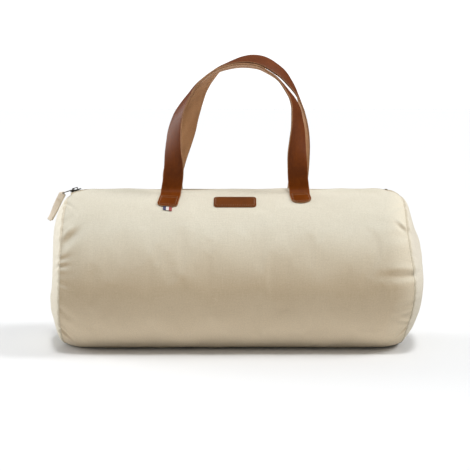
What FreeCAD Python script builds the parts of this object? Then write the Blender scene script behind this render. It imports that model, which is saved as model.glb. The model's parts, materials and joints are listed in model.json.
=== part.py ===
"""Barrel duffel bag: a stuffed canvas cylinder with bulged round ends, a zip along its top, two leather strap handles,
a small leather patch and a ribbon tab.

Frame: millimetres, +Z up, origin at the centre of the flat resting face. +X runs along the barrel to the right end,
-Y is the front face with the patch, and the closed zip slider stands at the -X end.
"""
import FreeCAD, Part
import Sketcher
import math
import os

V = FreeCAD.Vector
doc = FreeCAD.newDocument("duffel_bag")

# ---------------------------------------------------------------- driving dimensions
DIMS = [
    ("barrel_length", 500.0, "seam to seam"),
    ("barrel_radius", 121.0, "outer radius of the full barrel"),
    ("axis_height", 112.0, "barrel axis above the resting face"),
    ("seam_radius", 112.0, "outer radius at the end seams"),
    ("shoulder_length", 23.0, "length of each rounded shoulder before the seam"),
    ("canvas_thick", 1.6, "canvas with its lining"),
    ("dome_left", 24.0, "bulge of the left end"),
    ("dome_right", 32.0, "bulge of the right end"),
    ("lip_length", 10.0, "end panel seam allowance"),
    ("mouth_gap", 18.0, "gap between the canvas edges along the zip"),
    ("binding_width", 11.0, "seam binding width, laid flat"),
    ("tape_thick", 0.7, "zip tape thickness"),
    ("tape_reach", 17.0, "half width of the zip over both tapes"),
    ("tooth_pitch", 3.2, "zip tooth pitch"),
    ("tooth_thick", 1.3, "zip tooth thickness along the zip"),
    ("tooth_count", 141.0, "teeth on each tape"),
    ("chain_height", 232.4, "zip chain mid plane above the resting face"),
    ("slider_length", 16.0, "slider body length"),
    ("slider_width", 11.4, "slider body width"),
    ("plate_thick", 1.3, "slider plate thickness"),
    ("channel_height", 3.0, "slider inner height"),
    ("slider_tilt", 15.0, "slider tilt where the zip bends over the end, degrees"),
    ("puller_length", 17.0, "puller pin to end bar"),
    ("puller_width", 7.6, "puller width"),
    ("puller_thick", 1.2, "puller thickness"),
    ("puller_drop", 18.0, "puller angle below level, degrees"),
    ("pull_length", 47.0, "fabric pull length"),
    ("pull_width", 11.0, "fabric pull width before it is halved"),
    ("pull_drop", 64.0, "fabric pull angle below level, degrees"),
    ("strap_width", 30.0, "handle strap width"),
    ("strap_thick", 3.0, "handle strap thickness"),
    ("foot_height", 35.0, "length of a strap end lying on the canvas"),
    ("foot_height_low", 44.0, "length of the front left strap end, sewn on lower"),
    ("foot_offset", 96.0, "strap end centre from the middle of the bag"),
    ("foot_top_angle", 77.6, "top of a strap end round the barrel, degrees above level"),
    ("foot_splay", 7.0, "strap end splay, degrees"),
    ("patch_length", 62.0, "leather patch length"),
    ("patch_height", 27.0, "leather patch height"),
    ("patch_thick", 2.0, "leather patch thickness"),
    ("patch_angle", 62.6, "patch centre round the barrel, degrees above level"),
    ("thread_width", 0.6, "sewing thread width"),
    ("thread_height", 0.5, "sewing thread height"),
    ("backing_size", 38.0, "reinforcement patch side"),
    ("backing_thick", 1.2, "reinforcement patch thickness"),
]
sheet = doc.addObject("Spreadsheet::Sheet", "dims")
for row, (alias, value, note) in enumerate(DIMS, start=1):
    sheet.set("A%d" % row, note)
    sheet.set("B%d" % row, repr(value))
    sheet.setAlias("B%d" % row, alias)
doc.recompute()


def dim(alias):
    return float(getattr(sheet, alias))


FACES = {"front": -1, "rear": 1}  # direction along Y
HANDS = {"left": -1, "right": 1}  # direction along X

BARREL_R = dim("barrel_radius")
SEAM_R = dim("seam_radius")
AXIS_Z = dim("axis_height")
CANVAS = dim("canvas_thick")
TAPE = dim("tape_thick")
THREAD_W, THREAD_H = dim("thread_width"), dim("thread_height")

SEAM_X = dim("barrel_length") / 2
END_X = SEAM_X - 1.0  # the barrel canvas stops one millimetre short of the seam plane
SHOULDER_X = END_X - dim("shoulder_length")
SHOULDER_DROP = BARREL_R - SEAM_R
SHOULDER_R = (dim("shoulder_length") ** 2 + SHOULDER_DROP**2) / (2 * SHOULDER_DROP)
SHOULDER_CENTRE = (SHOULDER_X, BARREL_R - SHOULDER_R)  # (x, radius)

PARTS = []


# ---------------------------------------------------------------- helpers
def node(obj, label):
    """Labels a finished piece and lists it for export."""
    obj.Label = label
    PARTS.append(obj)
    return obj


def lift(obj):
    """Raises a piece built round the X axis to the barrel's axis."""
    obj.Placement.Base = V(0, 0, AXIS_Z)
    obj.setExpression("Placement.Base.z", "dims.axis_height")
    return obj


def number(value):
    """A size given as a number or as an alias."""
    return dim(value) if isinstance(value, str) else value


def box(name, size, position=(0, 0, 0)):
    """Box whose sizes are numbers or aliases; an alias stays bound to the sheet."""
    solid = doc.addObject("Part::Box", name)
    for prop, value in zip(("Length", "Width", "Height"), size):
        setattr(solid, prop, number(value))
        if isinstance(value, str):
            solid.setExpression(prop, "dims." + value)
    solid.Placement.Base = V(*position)
    return solid


def boolean(kind, name, base, tool):
    result = doc.addObject("Part::" + kind, name)
    result.Base, result.Tool = base, tool
    return result


def fuse(name, shapes):
    result = doc.addObject("Part::MultiFuse", name)
    result.Shapes = shapes
    return result


def compound(name, links):
    group = doc.addObject("Part::Compound", name)
    group.Links = links
    return group


def round_uprights(base, radius_at):
    """Fillets the edges along Z; radius_at gives the radius for an edge's first point, or 0."""
    doc.recompute()
    fillet = doc.addObject("Part::Fillet", base.Name + "_round")
    fillet.Base = base
    edges = []
    for i, edge in enumerate(base.Shape.Edges, start=1):
        first, last = edge.Vertexes[0].Point, edge.Vertexes[-1].Point
        if abs(first.x - last.x) < 1e-6 and abs(first.y - last.y) < 1e-6:
            radius = radius_at(first)
            if radius:
                edges.append((i, radius, radius))
    fillet.Edges = edges
    return fillet


def ruled_loft(label, sections):
    """Solid ruled through closed polygons."""
    wires = []
    for i, corners in enumerate(sections):
        wire = doc.addObject("Part::Polygon", "%s_section%d" % (label, i))
        wire.Nodes = corners
        wire.Close = True
        wires.append(wire)
    loft = doc.addObject("Part::Loft", label + "_loft")
    loft.Sections = wires
    loft.Solid = True
    loft.Ruled = True
    return node(loft, label)


def origin_feature(body, role):
    return [f for f in body.Origin.OriginFeatures if f.Role == role][0]


def vertex(x, y, x_link=None, y_link=None, bend=None):
    """Profile corner. The links are expressions for x and y; bend is the middle of an arc to the next corner."""
    return x, y, x_link, y_link, bend


def profile_sketch(body, name, vertices, role="XZ_Plane"):
    """Closed sketch through the vertices, with every corner located."""
    sketch = body.newObject("Sketcher::SketchObject", name)
    sketch.AttachmentSupport = [(origin_feature(body, role), "")]
    sketch.MapMode = "FlatFace"
    count = len(vertices)
    ends = []
    for i, (x, y, _, _, bend) in enumerate(vertices):
        next_x, next_y = vertices[(i + 1) % count][:2]
        start, stop = V(x, y, 0), V(next_x, next_y, 0)
        if bend is None:
            sketch.addGeometry(Part.LineSegment(start, stop), False)
            ends.append((1, 2))
            continue
        sketch.addGeometry(Part.Arc(start, V(bend[0], bend[1], 0), stop), False)
        # a sketch arc always runs anticlockwise, so a clockwise one has its ends swapped
        turn = (bend[0] - x) * (next_y - bend[1]) - (bend[1] - y) * (next_x - bend[0])
        ends.append((2, 1) if turn < 0 else (1, 2))
    for i in range(count):
        j = (i + 1) % count
        sketch.addConstraint(Sketcher.Constraint("Coincident", i, ends[i][1], j, ends[j][0]))
    for i, (x, y, x_link, y_link, _) in enumerate(vertices):
        for kind, value, link in (("DistanceX", x, x_link), ("DistanceY", y, y_link)):
            index = sketch.addConstraint(Sketcher.Constraint(kind, i, ends[i][0], float(value)))
            if link:
                sketch.setExpression("Constraints[%d]" % index, link)
    for i in range(count):
        if vertices[i][4] is not None:
            sketch.addConstraint(Sketcher.Constraint("Radius", i, sketch.Geometry[i].Radius))
    return sketch


def revolve(label, vertices):
    """Body made by turning a profile of (x, radius) vertices round the X axis."""
    body = doc.addObject("PartDesign::Body", label + "_body")
    sketch = profile_sketch(body, label + "_profile", vertices)
    turn = body.newObject("PartDesign::Revolution", label + "_turn")
    turn.Profile = sketch
    turn.ReferenceAxis = (sketch, ["H_Axis"])
    turn.Angle = 360
    body.Tip = turn
    return body


def turned_part(label, vertices):
    return node(lift(revolve(label + "_form", vertices)), label)


# ---------------------------------------------------------------- canvas barrel
def arc_middle(first, last, radius, centre):
    """Middle of the arc from first to last round the centre."""
    x = (first[0] + last[0]) / 2 - centre[0]
    y = (first[1] + last[1]) / 2 - centre[1]
    scale = radius / math.hypot(x, y)
    return centre[0] + x * scale, centre[1] + y * scale


def hollow_radius(x):
    """Inner radius of the canvas at x."""
    past = abs(x) - SHOULDER_X
    if past <= 0:
        return BARREL_R - CANVAS
    return SHOULDER_CENTRE[1] + math.sqrt(max((SHOULDER_R - CANVAS) ** 2 - past * past, 0.0))


def barrel_form():
    """Solid outer form of the barrel."""
    end = "dims.barrel_length/2-1"
    shoulder = end + "-dims.shoulder_length"
    seam, full = "dims.seam_radius", "dims.barrel_radius"
    mid_x, mid_r = arc_middle(
        (SHOULDER_X, BARREL_R), (END_X, SEAM_R), SHOULDER_R, SHOULDER_CENTRE
    )
    return revolve("barrel_form", [
        vertex(-END_X, 0.0, "-(%s)" % end),
        vertex(-END_X, SEAM_R, "-(%s)" % end, seam, (-mid_x, mid_r)),
        vertex(-SHOULDER_X, BARREL_R, "-(%s)" % shoulder, full),
        vertex(SHOULDER_X, BARREL_R, shoulder, full, (mid_x, mid_r)),
        vertex(END_X, SEAM_R, end, seam),
        vertex(END_X, 0.0, end),
    ])


def barrel_hollow():
    """Solid form of the space inside, run out past both open ends."""
    out_x = SEAM_X + 5
    out = "dims.barrel_length/2+5"
    shoulder = "dims.barrel_length/2-1-dims.shoulder_length"
    seam, full = "dims.seam_radius-dims.canvas_thick", "dims.barrel_radius-dims.canvas_thick"
    seam_r, full_r = SEAM_R - CANVAS, BARREL_R - CANVAS
    arc_r = SHOULDER_R - CANVAS  # shares its centre with the outer shoulder arc
    end_x = SHOULDER_X + math.sqrt(arc_r * arc_r - (seam_r - SHOULDER_CENTRE[1]) ** 2)
    mid_x, mid_r = arc_middle((SHOULDER_X, full_r), (end_x, seam_r), arc_r, SHOULDER_CENTRE)
    return revolve("barrel_hollow", [
        vertex(-out_x, 0.0, "-(%s)" % out),
        vertex(-out_x, seam_r, "-(%s)" % out, seam),
        vertex(-end_x, seam_r, None, seam, (-mid_x, mid_r)),
        vertex(-SHOULDER_X, full_r, "-(%s)" % shoulder, full),
        vertex(SHOULDER_X, full_r, shoulder, full, (mid_x, mid_r)),
        vertex(end_x, seam_r, None, seam),
        vertex(out_x, seam_r, out, seam),
        vertex(out_x, 0.0, out),
    ])


def body_panel():
    """Canvas barrel with a flat bottom and an open slot along its top."""
    above_floor = box("floor_cut", (620, 300, 300), (-310, -150, -AXIS_Z))
    above_lining = box("floor_in", (620, 300, 300), (-310, -150, -AXIS_Z + CANVAS))
    outer = boolean("Common", "barrel_outer_cut", barrel_form(), above_floor)
    inner = boolean("Common", "barrel_inner_cut", barrel_hollow(), above_lining)
    shell = boolean("Cut", "barrel_shell", outer, inner)
    slot = box("mouth_slot", (620, "mouth_gap", 60), (-310, -dim("mouth_gap") / 2, 80))
    slot.setExpression("Placement.Base.y", "-dims.mouth_gap/2")
    node(lift(boolean("Cut", "barrel_cut", shell, slot)), "body_panel")


body_panel()

# ---------------------------------------------------------------- round end panels and their seams
LIP_R = SEAM_R - CANVAS - 0.2  # the allowance lies just inside the barrel canvas
LIP_STEP = 1.1  # the allowance steps inwards by this much behind the seam
LIP_EDGE_X = SEAM_X - dim("lip_length")
CROWN_FLAT_R = 3.0  # small flat at the crown's centre
RIM_R = 92.0  # where the crown arc meets the rim arc


def end_panel(label, sign, dome):
    """Bulged round end: a large crown arc centred on the axis, and a small rim arc that meets the seam."""
    seam = "dims.barrel_length/2"
    lip_edge = seam + "-dims.lip_length"
    fullness = dome / 35.0  # scales the rim arc along X

    def at(x, radius, x_link=None, r_link=None, bend=None):
        link = "%s(%s)" % ("-" if sign < 0 else "", x_link) if x_link else None
        middle = (sign * bend[0], bend[1]) if bend else None
        return vertex(sign * x, radius, link, r_link, middle)

    rim_x = SEAM_X + 14 * fullness
    top_x = SEAM_X + dome
    centre_x = (top_x**2 - rim_x * rim_x - RIM_R * RIM_R) / (2 * (top_x - rim_x))
    outer_r = top_x - centre_x
    inner_r = outer_r - CANVAS
    rim_angle = math.asin(RIM_R / outer_r)

    def on_crown(radius, angle):
        return centre_x + radius * math.cos(angle), radius * math.sin(angle)

    inner_rim_x, inner_rim_r = on_crown(inner_r, rim_angle)
    flat_x = top_x - (outer_r - math.sqrt(outer_r * outer_r - CROWN_FLAT_R**2))
    bend_x = SEAM_X + 7.5 * fullness
    turned_part(label, [
        at(LIP_EDGE_X, LIP_R - CANVAS - LIP_STEP, lip_edge),
        at(LIP_EDGE_X, LIP_R - LIP_STEP, lip_edge),
        at(SEAM_X - 4.0, LIP_R - LIP_STEP),
        at(SEAM_X - 2.2, LIP_R),
        at(SEAM_X, LIP_R, seam, "dims.seam_radius-dims.canvas_thick-0.2"),
        at(SEAM_X, SEAM_R, seam, "dims.seam_radius", (bend_x, 104.5)),
        at(rim_x, RIM_R, bend=on_crown(outer_r, rim_angle / 2)),
        at(flat_x, CROWN_FLAT_R),
        at(flat_x, 0.0),
        at(flat_x - CANVAS, 0.0),
        at(flat_x - CANVAS, CROWN_FLAT_R, bend=on_crown(inner_r, rim_angle / 2)),
        at(inner_rim_x, inner_rim_r, bend=(bend_x - CANVAS * 0.75, 103.2)),
        at(SEAM_X, LIP_R - CANVAS, seam),
        at(SEAM_X - 1.9, LIP_R - CANVAS),
        at(SEAM_X - 3.7, LIP_R - CANVAS - LIP_STEP),
    ])


def seam_binding(label, sign):
    """U-shaped woven tape that wraps the raw edge of the end panel's seam allowance."""
    gap, thick = 0.1, 0.7
    top = LIP_R - LIP_STEP + gap
    bottom = LIP_R - LIP_STEP - CANVAS - gap
    fold = LIP_EDGE_X - gap
    reach = fold + dim("binding_width") / 2
    outline = [
        (fold - thick, top + thick), (reach, top + thick), (reach, top), (fold, top),
        (fold, bottom), (reach, bottom), (reach, bottom - thick), (fold - thick, bottom - thick),
    ]
    turned_part(label, [vertex(sign * x, radius) for x, radius in outline])


def seam_thread(label, sign):
    """Thread ring that closes an end seam, lying on the inside of the allowance."""
    top = LIP_R - CANVAS - 0.03
    bottom = top - THREAD_H
    near = SEAM_X - 1.4
    far = near + THREAD_W
    outline = [(near, bottom), (near, top), (far, top), (far, bottom)]
    turned_part(label, [vertex(sign * x, radius) for x, radius in outline])


for hand, sign in HANDS.items():
    end_panel("end_panel_" + hand, sign, dim("dome_" + hand))
    seam_binding("seam_binding_" + hand, sign)
    seam_thread("end_seam_stitching_" + hand, sign)


# ---------------------------------------------------------------- plates that lie on the barrel
# A plate is a layer round the barrel's axis cut by a box standing on the barrel.
# size: (width along X, height round the barrel), numbers or aliases
# place: (x, degrees above level, side along Y, spin in degrees)
ON_BARREL = "dims.barrel_radius+0.05"


def layer(inner, thickness):
    """Expressions for the inner and outer radius of a layer."""
    return inner, inner + "+" + thickness


def ring_shell(name, radii, start, length):
    """Tube along X with radii given as (inner, outer) expressions."""
    tubes = []
    for suffix, link in zip(("_inner", "_outer"), radii):
        tube = doc.addObject("Part::Cylinder", name + suffix)
        tube.Height = length
        tube.setExpression("Radius", link)
        tube.Placement = FreeCAD.Placement(V(start, 0, 0), FreeCAD.Rotation(V(0, 1, 0), 90))
        tubes.append(tube)
    return boolean("Cut", name + "_ring", tubes[1], tubes[0])


def lying_box(name, size, place, corner=0.0, low_only=False, base=114.0, thick=12.0):
    """Box standing on the barrel, with its corners, or only its lower ones, rounded."""
    width, height = number(size[0]), number(size[1])
    x, angle, side, spin = place
    tool = box(name, (size[0], size[1], thick))
    if corner:
        tool = round_uprights(
            tool, lambda point: corner if not low_only or point.y < height / 2 else 0
        )
    # own axes: x along the bag, y up the barrel surface, z outwards
    turn = FreeCAD.Rotation(V(1, 0, 0), 90.0 - angle)
    if side > 0:
        turn = FreeCAD.Rotation(V(0, 0, 1), 180) * turn
    centre = FreeCAD.Placement(V(-width / 2, -height / 2, 0), FreeCAD.Rotation())
    own = FreeCAD.Placement(V(0, 0, base), FreeCAD.Rotation(V(0, 0, 1), spin))
    tool.Placement = FreeCAD.Placement(V(x, 0, 0), turn).multiply(own).multiply(centre)
    return tool


def plate(label, radii, size, place, corner=0.0, low_only=False):
    width = number(size[0])
    ring = ring_shell(label, radii, place[0] - width, 2 * width)
    block = lying_box(label + "_block", size, place, corner, low_only)
    return boolean("Common", label + "_plate", ring, block)


def thread_loop(label, surface, width, height, place):
    """Closed loop of sewing thread round a rectangle, just above a surface radius."""
    radii = layer(surface + "+0.02", "dims.thread_height")
    ring = ring_shell(label, radii, place[0] - width, 2 * width)
    big = lying_box(label + "_big", (width + THREAD_W, height + THREAD_W), place)
    small = lying_box(
        label + "_small", (width - THREAD_W, height - THREAD_W), place, base=112.0, thick=16.0
    )
    rim = boolean("Cut", label + "_rim", big, small)
    return boolean("Common", label + "_loop", ring, rim)


# ---------------------------------------------------------------- strap ends and ribbon tab
STRAP_LAYER = layer(ON_BARREL, "dims.strap_thick")
LOW_FOOT = ("front", "left")
THREAD_INSET = 6.0  # taken off a piece's width and height for the thread loop on it
SEWN_HEIGHT = 26.0  # lower stretch of a strap end that is sewn down
TAB_WIDTH, TAB_HEIGHT, TAB_THICK = 13.0, 11.0, 0.8
TAB_PLACE = (-dim("foot_offset") - 2.0, 55.6, -1, 0.0)


def foot_alias(face, hand):
    return "foot_height_low" if (face, hand) == LOW_FOOT else "foot_height"


def degrees_round(length):
    """Angle that a length covers round the barrel."""
    return math.degrees(length / BARREL_R)


def foot_place(face, hand, splayed=True):
    """Place of a strap end's centre."""
    angle = dim("foot_top_angle") - degrees_round(dim(foot_alias(face, hand)) / 2)
    spin = -FACES[face] * HANDS[hand] * dim("foot_splay") if splayed else 0.0
    return HANDS[hand] * dim("foot_offset"), angle, FACES[face], spin


def strap_foot(face, hand):
    """Strap end lying on the canvas; the low one is notched over the ribbon tab."""
    label = "%s_handle_foot_%s" % (face, hand)
    size = ("strap_width", foot_alias(face, hand))
    foot = plate(label, STRAP_LAYER, size, foot_place(face, hand), 4.0, low_only=True)
    if (face, hand) == LOW_FOOT:
        radii = ("dims.barrel_radius-1.0", "%s+%r+0.08" % (ON_BARREL, TAB_THICK))
        recess = plate("tab_recess", radii, (TAB_WIDTH + 0.3, TAB_HEIGHT + 0.6), TAB_PLACE)
        foot = boolean("Cut", "front_left_foot_notched", foot, recess)
    node(lift(foot), label)


def foot_thread(face, hand):
    """Thread loop on the lower stretch of a strap end."""
    x, angle, side, spin = foot_place(face, hand)
    angle -= degrees_round((dim(foot_alias(face, hand)) - SEWN_HEIGHT) / 2)
    return thread_loop(
        "%s_thread_%s" % (face, hand), STRAP_LAYER[1],
        dim("strap_width") - THREAD_INSET, SEWN_HEIGHT - THREAD_INSET, (x, angle, side, spin),
    )


def backing_patch(face, hand):
    """Square reinforcement inside the canvas behind a strap end."""
    inner = "dims.barrel_radius-dims.canvas_thick-0.1-dims.backing_thick"
    return plate(
        "backing_%s_%s" % (face, hand), layer(inner, "dims.backing_thick"),
        ("backing_size", "backing_size"), foot_place(face, hand, splayed=False),
    )


for face in FACES:
    for hand in HANDS:
        strap_foot(face, hand)
    threads = compound(face + "_threads", [foot_thread(face, hand) for hand in HANDS])
    node(lift(threads), face + "_handle_stitching")
backings = compound("backings", [backing_patch(face, hand) for face in FACES for hand in HANDS])
node(lift(backings), "handle_backing_patches")

# the tab's upper end is sewn under the lower edge of the front left strap end
tab = plate("ribbon_tab", layer(ON_BARREL, repr(TAB_THICK)), (TAB_WIDTH, TAB_HEIGHT), TAB_PLACE)
node(lift(tab), "ribbon_tag")


# ---------------------------------------------------------------- leather patch
def leather_patch():
    place = (0.0, dim("patch_angle"), -1, 0.0)
    radii = layer(ON_BARREL, "dims.patch_thick")
    patch = plate("patch", radii, ("patch_length", "patch_height"), place, 5.0)
    node(lift(patch), "leather_patch")
    thread = thread_loop(
        "patch_thread", radii[1],
        dim("patch_length") - THREAD_INSET, dim("patch_height") - THREAD_INSET, place,
    )
    node(lift(thread), "leather_patch_stitching")


leather_patch()


# ---------------------------------------------------------------- thread lines along the mouth
def zip_thread(face, side):
    start, length, line_y = -222.0, 444.0, 12.5
    radii = layer("dims.barrel_radius+0.03", "dims.thread_height")
    ring = ring_shell(face + "_zip_thread", radii, start, length)
    strip = box(
        face + "_zip_thread_strip", (length, "thread_width", 40.0),
        (start, side * line_y - THREAD_W / 2, 95.0),
    )
    line = boolean("Common", face + "_zip_thread_line", ring, strip)
    node(lift(line), "zip_stitching_" + face)


for face, side in FACES.items():
    zip_thread(face, side)

# ---------------------------------------------------------------- zip tapes, teeth and stops
CHAIN_Z = dim("chain_height")
TILT = math.radians(dim("slider_tilt"))
SLIDER_X, SLIDER_Z = -239.5, 230.5  # slider centre at the closed end
SLIDER_TURN = FreeCAD.Rotation(V(0, -1, 0), dim("slider_tilt"))
SLOPE_END_X = -231.5  # the chain slopes with the slider left of here
DROOP_START_X = 230.0  # the chain curves down right of here
TAPE_STATIONS = [
    -246.8, -244.0, -240.0, -236.0, SLOPE_END_X, -228.5, -225.0,
    0.0, 225.0, DROOP_START_X, 235.0, 240.0, 244.0, 246.8,
]
FIRST_TOOTH_X = -226.5


def chain_z(x):
    """Height of the chain's mid plane at a tape station."""
    if x <= SLOPE_END_X:
        return SLIDER_Z + (x - SLIDER_X) * math.tan(TILT)
    if x > DROOP_START_X:
        return CHAIN_Z - 7.6 * ((x - DROOP_START_X) / 18.0) ** 2
    return CHAIN_Z


def tape_section(x, side):
    """Bent strip that runs under the canvas at its outer edge and in the chain's plane at its inner one."""
    reach = dim("tape_reach")
    chain_top = chain_z(x) + TAPE / 2
    under_outer = AXIS_Z + math.sqrt(hollow_radius(x) ** 2 - reach * reach) - 0.12
    under_mouth = AXIS_Z + math.sqrt(hollow_radius(x) ** 2 - 9.6**2) - 0.15
    top = [
        (reach, min(under_outer, chain_top)), (8.7, min(under_mouth, chain_top)),
        (6.2, chain_top), (1.6, chain_top),
    ]
    upper = [V(x, side * y, z) for y, z in top]
    return upper + [V(x, side * y, z - TAPE) for y, z in reversed(top)]


def tooth_row(label, side, start):
    """Metal teeth clamped on the tape's inner edge: a head that crosses the middle and two legs."""
    body = doc.addObject("PartDesign::Body", label + "_body")
    body.AllowCompound = True
    gap = 0.06
    grip_y, grip_z = 1.6 - gap, TAPE / 2 + gap
    outline = [
        (-0.7, -0.75), (-0.7, 0.75), (0.4, 1.3), (4.4, 1.0), (4.4, grip_z),
        (grip_y, grip_z), (grip_y, -grip_z), (4.4, -grip_z), (4.4, -1.0), (0.4, -1.3),
    ]
    vertices = [vertex(side * y, z) for y, z in outline]
    pad = body.newObject("PartDesign::Pad", label + "_pad")
    pad.Profile = profile_sketch(body, label + "_section", vertices, role="YZ_Plane")
    pad.Length = dim("tooth_thick")
    pad.setExpression("Length", "dims.tooth_thick")
    doc.recompute()
    row = body.newObject("PartDesign::LinearPattern", label + "_row")
    row.Originals = [pad]
    row.Direction = (origin_feature(body, "X_Axis"), [""])
    row.Occurrences = int(dim("tooth_count"))
    row.setExpression("Occurrences", "dims.tooth_count")
    row.Length = dim("tooth_pitch") * (int(dim("tooth_count")) - 1)
    row.setExpression("Length", "dims.tooth_pitch*(dims.tooth_count-1)")
    body.Tip = row
    body.Placement.Base = V(start, 0, CHAIN_Z)
    body.setExpression("Placement.Base.z", "dims.chain_height")
    node(body, label)


def top_stop(face, side):
    """Small U-shaped metal clip pressed on the tape edge."""
    length, width, half_height = 2.4, 2.6, 1.1
    name = "top_stop_" + face
    solid = box(name + "_solid", (length, width, 2 * half_height), (-length / 2, -width / 2, -half_height))
    gap_y = -0.9 if side > 0 else -width / 2
    gap_height = TAPE + 0.12
    gap = box(name + "_gap", (length + 2, 2.2, gap_height), (-length / 2 - 1, gap_y, -gap_height / 2))
    clip = boolean("Cut", name + "_u", solid, gap)
    clip.Placement = FreeCAD.Placement(V(SLIDER_X, side * 2.5, SLIDER_Z), SLIDER_TURN)
    return clip


def bottom_stop():
    """Block across both tapes, slotted from each side for the tape edges."""
    x = 226.2
    web_y = 1.54  # half width of the web left between the slots
    slot = (5.0, 3.36, 1.5)
    slot_x, slot_z = x - 0.8, CHAIN_Z - slot[2] / 2
    block = box("bottom_stop_block", (3.2, 9.6, 3.2), (x, -4.8, CHAIN_Z - 1.6))
    front = box("bottom_stop_gap_f", slot, (slot_x, -web_y - slot[1], slot_z))
    rear = box("bottom_stop_gap_r", slot, (slot_x, web_y, slot_z))
    half = boolean("Cut", "bottom_stop_half", block, front)
    node(boolean("Cut", "bottom_stop_cut", half, rear), "zip_bottom_stop")


for face, side in FACES.items():
    ruled_loft("zip_tape_" + face, [tape_section(x, side) for x in TAPE_STATIONS])
tooth_row("zip_teeth_front", -1, FIRST_TOOTH_X)
tooth_row("zip_teeth_rear", 1, FIRST_TOOTH_X + dim("tooth_pitch") / 2)
node(compound("top_stops", [top_stop(face, side) for face, side in FACES.items()]), "zip_top_stops")
bottom_stop()

# ---------------------------------------------------------------- zip slider
HALF_CHANNEL = dim("channel_height") / 2
SLIDER_TOP = HALF_CHANNEL + dim("plate_thick")


def slider_plate(name, z):
    """Plate with larger corners at its -X end."""
    size = ("slider_length", "slider_width", "plate_thick")
    solid = box(name, size, (-dim("slider_length") / 2, -dim("slider_width") / 2, z))
    return round_uprights(solid, lambda point: 2.6 if point.x < 0 else 1.6)


def zip_slider():
    pieces = [
        slider_plate("slider_top", HALF_CHANNEL),
        slider_plate("slider_base", -SLIDER_TOP),
        box("slider_neck", (3.2, 2.4, 2 * HALF_CHANNEL + 0.6), (-7.0, -1.2, -HALF_CHANNEL - 0.3)),
    ]
    # flanges along both sides, sunk a little into the plates
    thick, inner_z = 0.9, 0.95
    outer_z = HALF_CHANNEL + 0.1
    edge_y = dim("slider_width") / 2
    for i, y in enumerate((-edge_y, edge_y - thick)):
        for j, z in enumerate((-outer_z, inner_z)):
            size = (10.5, thick, outer_z - inner_z)
            pieces.append(box("flange_%d_%d" % (i, j), size, (-5.0, y, z)))
    # crown: a bridge along the slider that traps the puller's pin
    post, post_z = (1.1, 2.0, 3.3), SLIDER_TOP - 0.2
    pieces += [
        box("crown_left", post, (-4.6, -1.0, post_z)),
        box("crown_right", post, (2.6, -1.0, post_z)),
        box("crown_bar", (8.3, 2.0, 1.1), (-4.6, -1.0, SLIDER_TOP + 2.1)),
    ]
    slider = fuse("slider_fused", pieces)
    slider.Placement = FreeCAD.Placement(V(SLIDER_X, 0, SLIDER_Z), SLIDER_TURN)
    node(slider, "zip_slider")


zip_slider()

# ---------------------------------------------------------------- puller
# pin centre in the slider's own frame, then in the bag's
PIN_ALONG, PIN_UP = -2.6, SLIDER_TOP + 1.1
PIN_X = SLIDER_X + PIN_ALONG * math.cos(TILT) - PIN_UP * math.sin(TILT)
PIN_Z = SLIDER_Z + PIN_ALONG * math.sin(TILT) + PIN_UP * math.cos(TILT)
PULLER_L, PULLER_W = dim("puller_length"), dim("puller_width")
PULLER_DROP = math.radians(dim("puller_drop"))


def cross_rod(name, x, length):
    """Rod along Y, centred on the puller's middle line."""
    rod = doc.addObject("Part::Cylinder", name)
    rod.Radius, rod.Height = 0.8, length
    rod.Placement = FreeCAD.Placement(V(x, length / 2, 0), FreeCAD.Rotation(V(1, 0, 0), 90))
    return rod


def hanging(x, z, drop):
    """Placement that turns a piece's own +X to point left and down from (x, z)."""
    return FreeCAD.Placement(V(x, 0, z), FreeCAD.Rotation(V(0, 1, 0), 180.0 - drop))


def puller_rail(name, x, y, length, width):
    """Flat bar along the puller, centred on y."""
    position = (x, y - width / 2, -dim("puller_thick") / 2)
    return box(name, (length, width, "puller_thick"), position)


def zip_puller():
    blade_x = 6.4
    side_y = PULLER_W / 2 - 0.5
    pieces = [cross_rod("puller_pin", 0.0, 5.6)]
    pieces += [puller_rail("puller_arm_%d" % (s + 1), -0.6, s * 2.25, 7.4, 1.1) for s in (-1, 1)]
    pieces.append(box(
        "puller_blade", (PULLER_L - blade_x - 4.4, "puller_width", "puller_thick"),
        (blade_x, -PULLER_W / 2, -dim("puller_thick") / 2),
    ))
    pieces += [
        puller_rail("puller_side_%d" % (s + 1), PULLER_L - 5.0, s * side_y, 5.4, 1.0)
        for s in (-1, 1)
    ]
    end_bar = cross_rod("puller_end_bar", PULLER_L, PULLER_W)
    end_bar.setExpression("Height", "dims.puller_width")
    puller = fuse("puller_fused", pieces + [end_bar])
    puller.Placement = hanging(PIN_X, PIN_Z, dim("puller_drop"))
    node(puller, "zip_puller")


zip_puller()

# ---------------------------------------------------------------- fabric pull
PULL_L = dim("pull_length")
PULL_PLACE = hanging(
    PIN_X - PULLER_L * math.cos(PULLER_DROP), PIN_Z - PULLER_L * math.sin(PULLER_DROP),
    dim("pull_drop"),
)
LOOP_IN, LOOP_OUT = 1.05, 2.15  # loop radii round the puller's end bar
END_IN, END_OUT = 0.2, 1.3  # faces of each layer at the free end, from the middle
LOOP_STEPS = 8


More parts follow.
